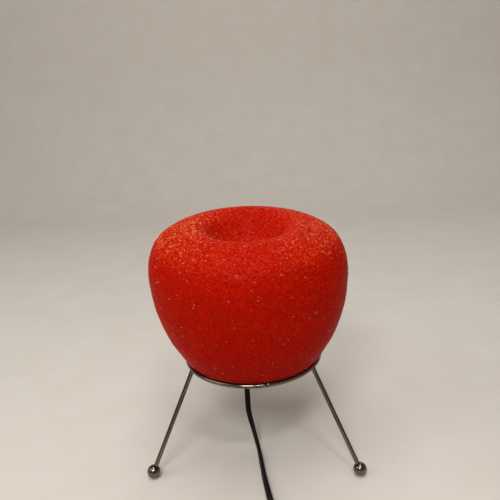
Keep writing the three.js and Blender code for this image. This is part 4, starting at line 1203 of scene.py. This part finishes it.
@dataclass
class PygmyBulb:
    """The clear E14 pygmy lamp: threaded cap, blown envelope, pressed stem and coiled filament."""

    radius: float = 13.0
    glass_wall: float = 0.8
    cap_wall: float = 0.4
    neck_depth: float = 9.0
    thread_pitch: float = 2.8
    thread_depth: float = 0.8
    shares: tuple[tuple[float, float], ...] = (
        (0.5, 0.05), (0.62, 0.12), (0.85, 0.23), (0.98, 0.34), (1, 0.42), (1, 0.72), (0.96, 0.84),
        (0.8, 0.93), (0.5, 0.985), (0, 1))
    skirt_height: float = 3.5
    stem_radius: float = 1.5
    stem_tip: tuple[float, float] = (0.6, 0.5)
    coil_turns: int = 30
    coil_radius: float = 0.3
    filament_wire: float = 0.11

    def build(self) -> None:
        """Make the cap, the glass and what it holds."""
        refined("bulb_contact", "solder_contact", TIN, Body.BULB, 0.2)
        refined("bulb_insulator", "cap_insulator", BLACK_GLASS, Body.BULB, 0.25)
        self.cap()
        self.glass()
        self.stem()
        for side in (1, 2):
            refined(f"bulb_support_{side}", f"filament_support_{side}", TIN, Body.BULB, 0.1)
        self.filament()

    def cap(self) -> None:
        """Roll the E14 thread into the brass cap, with a plain skirt above it."""
        low, high = box_mm("bulb_cap")
        outer = high.x
        inside = grooved(low.z, high.z, outer - self.cap_wall, 0.4)
        outline = grooved(low.z, high.z, outer, 0.4) + inside[::-1]
        bm = spun(outline, 72, True)
        reach = (outer - self.cap_wall - 0.05, outer + 0.05)
        cut_thread(bm, self.thread_pitch, self.thread_depth, low.z, high.z - self.skirt_height, reach)
        show("threaded_cap", bm, BRASS, Body.BULB, ["bulb_cap"])

    def glass(self) -> None:
        """Blow the envelope with an even wall and a neck inside the cap."""
        low, high = box_mm("bulb_glass")
        neck_top = low.z + self.neck_depth
        neck = box_mm("bulb_cap")[1].x - self.cap_wall - 0.3
        dome = high.z - neck_top
        knots = [(neck, low.z), (neck, neck_top)]
        knots += [(r * self.radius, neck_top + z * dome) for r, z in self.shares]
        outer = [tuple(p) for p in evenly(spline(knots, 16), 1.2, 2)]
        inner = inset(outer, self.glass_wall)
        loop = [(0.0, inner[-1][1])] + inner[-2::-1] + outer[:-1] + [(0.0, outer[-1][1])]
        show("blown_envelope", spun(loop, 56), GLASS, Body.BULB, ["bulb_glass"], 60)

    def stem(self) -> None:
        """Press the flared glass stem that holds the supports."""
        low, high = box_mm("bulb_stem")
        flare = high.x
        throat = flare - self.stem_radius
        outline = [(0.0, low.z)] + arc(throat, 270, 180, 10, (flare, low.z + throat))
        drop, narrowing = self.stem_tip
        outline += [(self.stem_radius, high.z - drop), (self.stem_radius - narrowing, high.z),
                    (0.0, high.z)]
        show("pressed_stem", spun(outline, 32), GLASS, Body.BULB, ["bulb_stem"], 60)

    def filament(self) -> None:
        """Wind the filament round its shallow arch."""
        low, high = box_mm("bulb_filament")
        half, rise = high.x, high.z - low.z - 2 * self.coil_radius
        points = []
        for i in range(self.coil_turns * 10 + 1):
            share = i / (self.coil_turns * 10)
            angle = math.tau * self.coil_turns * share
            x = lerp(-half, half, share) * 0.98
            z = low.z + self.coil_radius + rise * 4 * share * (1 - share)
            wound = self.coil_radius * Vector((0, math.cos(angle), math.sin(angle)))
            points.append(Vector((x, 0, z)) + wound)
        profile = arc(self.filament_wire, 0, 360, 5)[:-1]
        stations = frames(points, [0.0] * len(points), lambda along: Vector((1, 0, 0.01)))
        coil = sweep(stations, [profile] * len(points))
        show("coiled_filament", coil, TUNGSTEN, Body.BULB, ["bulb_filament"])


def frames(points: Sequence[Vector], twists: Sequence[float],
           across: Callable[[Vector], Vector]) -> list[tuple[Vector, Vector, Vector]]:
    """Stand a frame at each point of a path.

    Args:
        points: The path.
        twists: The turn of the profile's wide side at each point, in degrees.
        across: Gives the direction that the wide side has at no twist, from the path's heading.

    Returns:
        Each place, with the directions of the wide side and of the thin side.
    """
    found = []
    for i, point in enumerate(points):
        ahead, behind = points[min(i + 1, len(points) - 1)], points[max(i - 1, 0)]
        heading = (ahead - behind).normalized()
        flat = across(heading)
        flat = (flat - heading * flat.dot(heading)).normalized()
        wide = Matrix.Rotation(math.radians(twists[i]), 3, heading) @ flat
        found.append((point, wide, heading.cross(wide)))
    return found


@dataclass
class Flex:
    """The flat twin flex with its strain relief: from the holder to the switch, the coil and the plug.

    The routes repeat the CAD source: metres from the ring's axis, and the twist of the wide side.
    """

    wide: float = 5.4
    thin: float = 3.4
    pitch: float = 2.0
    relief_length: float = 20.0
    relief_swing: float = 20.0
    relief_turn: float = 36.0
    relief_root: float = 4.7
    relief_rim: float = 1.2
    relief_grooves: int = 5
    relief_groove_depth: float = 0.11
    relief_groove_span: tuple[float, float] = (0.12, 0.92)
    relief_steps: int = 60
    coil_centre: tuple[float, float] = (-37.0, -172.0)
    coil_radius: float = 35.7
    coil_turns: float = 7.75
    coil_pitch: float = 3.9
    coil_layers: tuple[float, float] = (4.3, 10.2)
    coil_climb: float = 0.5
    coil_steps: int = 24
    lead_route: tuple[tuple[float, float, float, float], ...] = (
        (-0.008, 0, 0.0536, 0), (-0.008, 0, 0.0465, 0), (-0.008, -0.0003, 0.039, 6),
        (-0.0074, -0.0013, 0.0317, 18), (-0.006, -0.0032, 0.0251, 35), (-0.0039, -0.007, 0.0186, 55),
        (-0.0014, -0.0132, 0.0117, 72), (0.0012, -0.021, 0.0064, 80), (0.0033, -0.0315, 0.004, 78),
        (0.0059, -0.048, 0.003, 68), (0.0083, -0.063, 0.003, 56), (0.0106, -0.075, 0.0033, 46),
        (0.0128, -0.087, 0.0042, 34), (0.015, -0.098, 0.0062, 18), (0.0168, -0.107, 0.0082, 4),
        (0.0175, -0.1126, 0.0092, 0), (0.0175, -0.1197, 0.0092, 0))
    tail_route: tuple[tuple[float, float, float, float], ...] = (
        (0.0175, -0.1743, 0.0092, 0), (0.0175, -0.1814, 0.0092, 0), (0.0174, -0.186, 0.0084, 0),
        (0.0162, -0.193, 0.007, 12), (0.0126, -0.1994, 0.0056, 32), (0.0066, -0.2046, 0.0047, 54),
        (-0.0012, -0.2072, 0.0044, 74), (-0.009, -0.2079, 0.0043, 88), (-0.019, -0.2078, 0.0043, 90),
        (-0.026, -0.2077, 0.0043, 90), (-0.0316, -0.2077, 0.0043, 90))
    end_route: tuple[tuple[float, float, float, float], ...] = (
        (-0.0013, -0.1774, 0.0102, 90), (-0.0013, -0.186, 0.0106, 90), (-0.0013, -0.195, 0.0114, 90),
        (-0.0014, -0.204, 0.0116, 84), (-0.0019, -0.213, 0.0108, 66), (-0.0036, -0.2216, 0.0092, 44),
        (-0.0074, -0.229, 0.0078, 22), (-0.013, -0.2344, 0.0072, 6), (-0.02, -0.2372, 0.0071, 0),
        (-0.0286, -0.238, 0.00705, 0), (-0.0357, -0.238, 0.00705, 0))
    paths: dict[str, list[Vector]] = field(default_factory=dict)

    def build(self) -> tuple[bpy.types.Object, bpy.types.Object]:
        """Make the relief and both runs of flex, and return the runs."""
        self.relief()
        lead = self.run("flex_lead", self.lead_knots(), lambda heading: Vector((1, 0, 0)), ["cord_lead"])
        knots = self.knots(self.tail_route) + self.coil_knots() + self.knots(self.end_route)
        rest = self.run("flex_to_plug", knots, UP.cross, ["cord_tail", "cord_coil", "cord_end"])
        return lead, rest

    def knots(self, route: Sequence[Sequence[float]]) -> list[list[float]]:
        """Turn a route's metres into millimetres."""
        return [[x / MILLIMETRE, y / MILLIMETRE, z / MILLIMETRE, twist] for x, y, z, twist in route]

    def relief_at(self, length: float) -> tuple[Vector, Vector]:
        """Return the relief's place and heading at a length: it swings aside and then back."""
        swing, turned = math.radians(self.relief_turn), length / self.relief_swing
        heading = turned if turned < swing else 2 * swing - turned
        if turned < swing:
            reach, drop = 1 - math.cos(heading), math.sin(heading)
        else:
            reach = 1 - 2 * math.cos(swing) + math.cos(heading)
            drop = 2 * math.sin(swing) - math.sin(heading)
        root = box_mm("cord_relief")[1].z
        place = Vector((-reach * self.relief_swing, 0, root - drop * self.relief_swing))
        return place, Vector((-math.sin(heading), 0, -math.cos(heading)))

    def lead_knots(self) -> list[list[float]]:
        """Return the lead's knots, from inside the relief's tip to inside the switch."""
        tip, heading = self.relief_at(self.relief_length)
        head = [[*(tip + heading * reach), 0.0] for reach in (0.3, self.thin)]
        return head + self.knots(self.lead_route)

    def coil_knots(self) -> list[list[float]]:
        """Return the coil's knots: down one layer of turns and up the next."""
        half = self.coil_turns / 2
        found = []
        for i in range(round(self.coil_turns * self.coil_steps) + 1):
            turn = i / self.coil_steps
            radius = self.coil_radius - self.coil_pitch * (half - abs(turn - half))
            climb = smooth_step((turn - half + self.coil_climb / 2) / self.coil_climb)
            point = polar(radius, -360 * turn, lerp(*self.coil_layers, climb))
            found.append([point.x + self.coil_centre[0], point.y + self.coil_centre[1], point.z, 90.0])
        return found

    def section(self, rim: float = 0.0) -> Outline:
        """Return the flex's flat oval section, with a rim round it."""
        radius, offset = self.thin / 2 + rim, (self.wide - self.thin) / 2
        return arc(radius, -90, 90, 8, (offset, 0)) + arc(radius, 90, 270, 8, (-offset, 0))

    def run(self, name: str, knots: list[list[float]], across: Callable[[Vector], Vector],
            stands_for: list[str]) -> bpy.types.Object:
        """Draw one run of flex through its knots.

        Args:
            name: The run's name.
            knots: Its knots, in millimetres, with their twists.
            across: The direction of the wide side at no twist, from the heading.
            stands_for: The CAD nodes that it replaces.

        Returns:
            The run; the path that it follows is kept in paths.
        """
        stations = evenly(spline(knots, 6), self.pitch)
        points = [Vector(p[:3]) for p in stations]
        placed = frames(points, [p[3] for p in stations], across)
        piece = show(name, sweep(placed, [self.section()] * len(points)), FLEX, Body.STAND, stands_for)
        self.paths[name] = [TO_FRAME @ point for point in points]
        return piece

    def relief(self) -> None:
        """Mould the tapered strain relief with its flexing grooves."""
        tip = self.section(self.relief_rim)
        start, end = self.relief_groove_span
        stations, profiles = [], []
        for i in range(self.relief_steps + 1):
            share = i / self.relief_steps
            place, heading = self.relief_at(share * self.relief_length)
            stations.append((place, Vector((0, 1, 0)).cross(heading), Vector((0, 1, 0))))
            wave = max(math.sin(math.pi * (2 * self.relief_grooves * share - 1)), 0.0)
            groove = 1 - self.relief_groove_depth * wave ** 0.6 * (1 if start < share < end else 0)
            grown = [groove * lerp(self.relief_root / math.hypot(x, y), 1, share) for x, y in tip]
            profiles.append([(x * g, y * g) for (x, y), g in zip(tip, grown)])
        show("strain_relief", sweep(stations, profiles), BLACK_PLASTIC, Body.STAND, ["cord_relief"])


@dataclass
class CordSet:
    """The pieces on the flex: the inline rocker switch, the coil's strap and the flat plug."""

    pin_radius: float = 2.0
    pin_core: float = 1.3
    pin_length: float = 19.0
    pin_nose: float = 1.2
    sleeve_length: float = 10.0

    def build(self) -> tuple[list[bpy.types.Object], list[bpy.types.Object]]:
        """Make the switch, the strap and the plug, and return the pieces on each run of flex."""
        switch = [
            refined("switch_lower", "switch_base", BLACK_PLASTIC, Body.STAND, 0.25),
            refined("switch_upper", "switch_cover", BLACK_PLASTIC, Body.STAND, 0.25),
            refined("switch_rocker", "rocker_paddle", BLACK_PLASTIC, Body.ROCKER, 0.35, 3)]
        for side in (1, 2):
            switch.append(refined(f"switch_screw_{side}", f"case_screw_{side}", ZINC, Body.STAND, 0.2))
            switch.append(refined(f"switch_terminal_{side}", f"terminal_block_{side}", BRASS,
                                  Body.STAND, 0.25))
        plug = [
            refined("coil_tie", "coil_strap", STRAP, Body.STAND, 0.2),
            refined("plug_body", "plug_moulding", BLACK_PLASTIC, Body.STAND, 0.3)]
        for side in (1, 2):
            plug.append(self.pin(side))
            plug.append(refined(f"plug_sleeve_{side}", f"pin_sleeve_{side}", BLACK_PLASTIC,
                                Body.STAND, 0.1))
        return switch, plug

    def pin(self, side: int) -> bpy.types.Object:
        """Turn one plug pin, round-nosed, with its sleeved neck."""
        low, high = box_mm(f"plug_pin_{side}")
        nose = arc(self.pin_nose, 0, 90, 6, (self.pin_radius - self.pin_nose,
                                             self.pin_length - self.pin_nose))
        root = self.pin_length - (high.x - low.x)
        outline = [(0.0, root), (self.pin_core, root),
                   (self.pin_core, self.sleeve_length), (self.pin_radius, self.sleeve_length + 0.2)]
        bm = spun(outline + nose + [(0.0, self.pin_length)], 32)
        middle = (low + high) / 2
        bm.transform(Matrix.Translation((low.x + self.pin_length, middle.y, middle.z))
                     @ Matrix.Rotation(-math.pi / 2, 4, "Y"))
        return show(f"turned_pin_{side}", bm, TIN, Body.STAND, [f"plug_pin_{side}"])


def main() -> None:
    """Build the studio and then the lamp, assembly by assembly."""
    logging.basicConfig(level=logging.INFO, format="%(name)s %(message)s")
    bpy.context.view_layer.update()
    Studio().build()
    flex = Flex()
    lead, rest = flex.build()
    switch, plug = CordSet().build()
    WireStand().build()
    GranuleShade().build()
    LampHolder().build()
    PygmyBulb().build()
    bpy.context.view_layer.update()


if __name__ == "__main__":
    main()
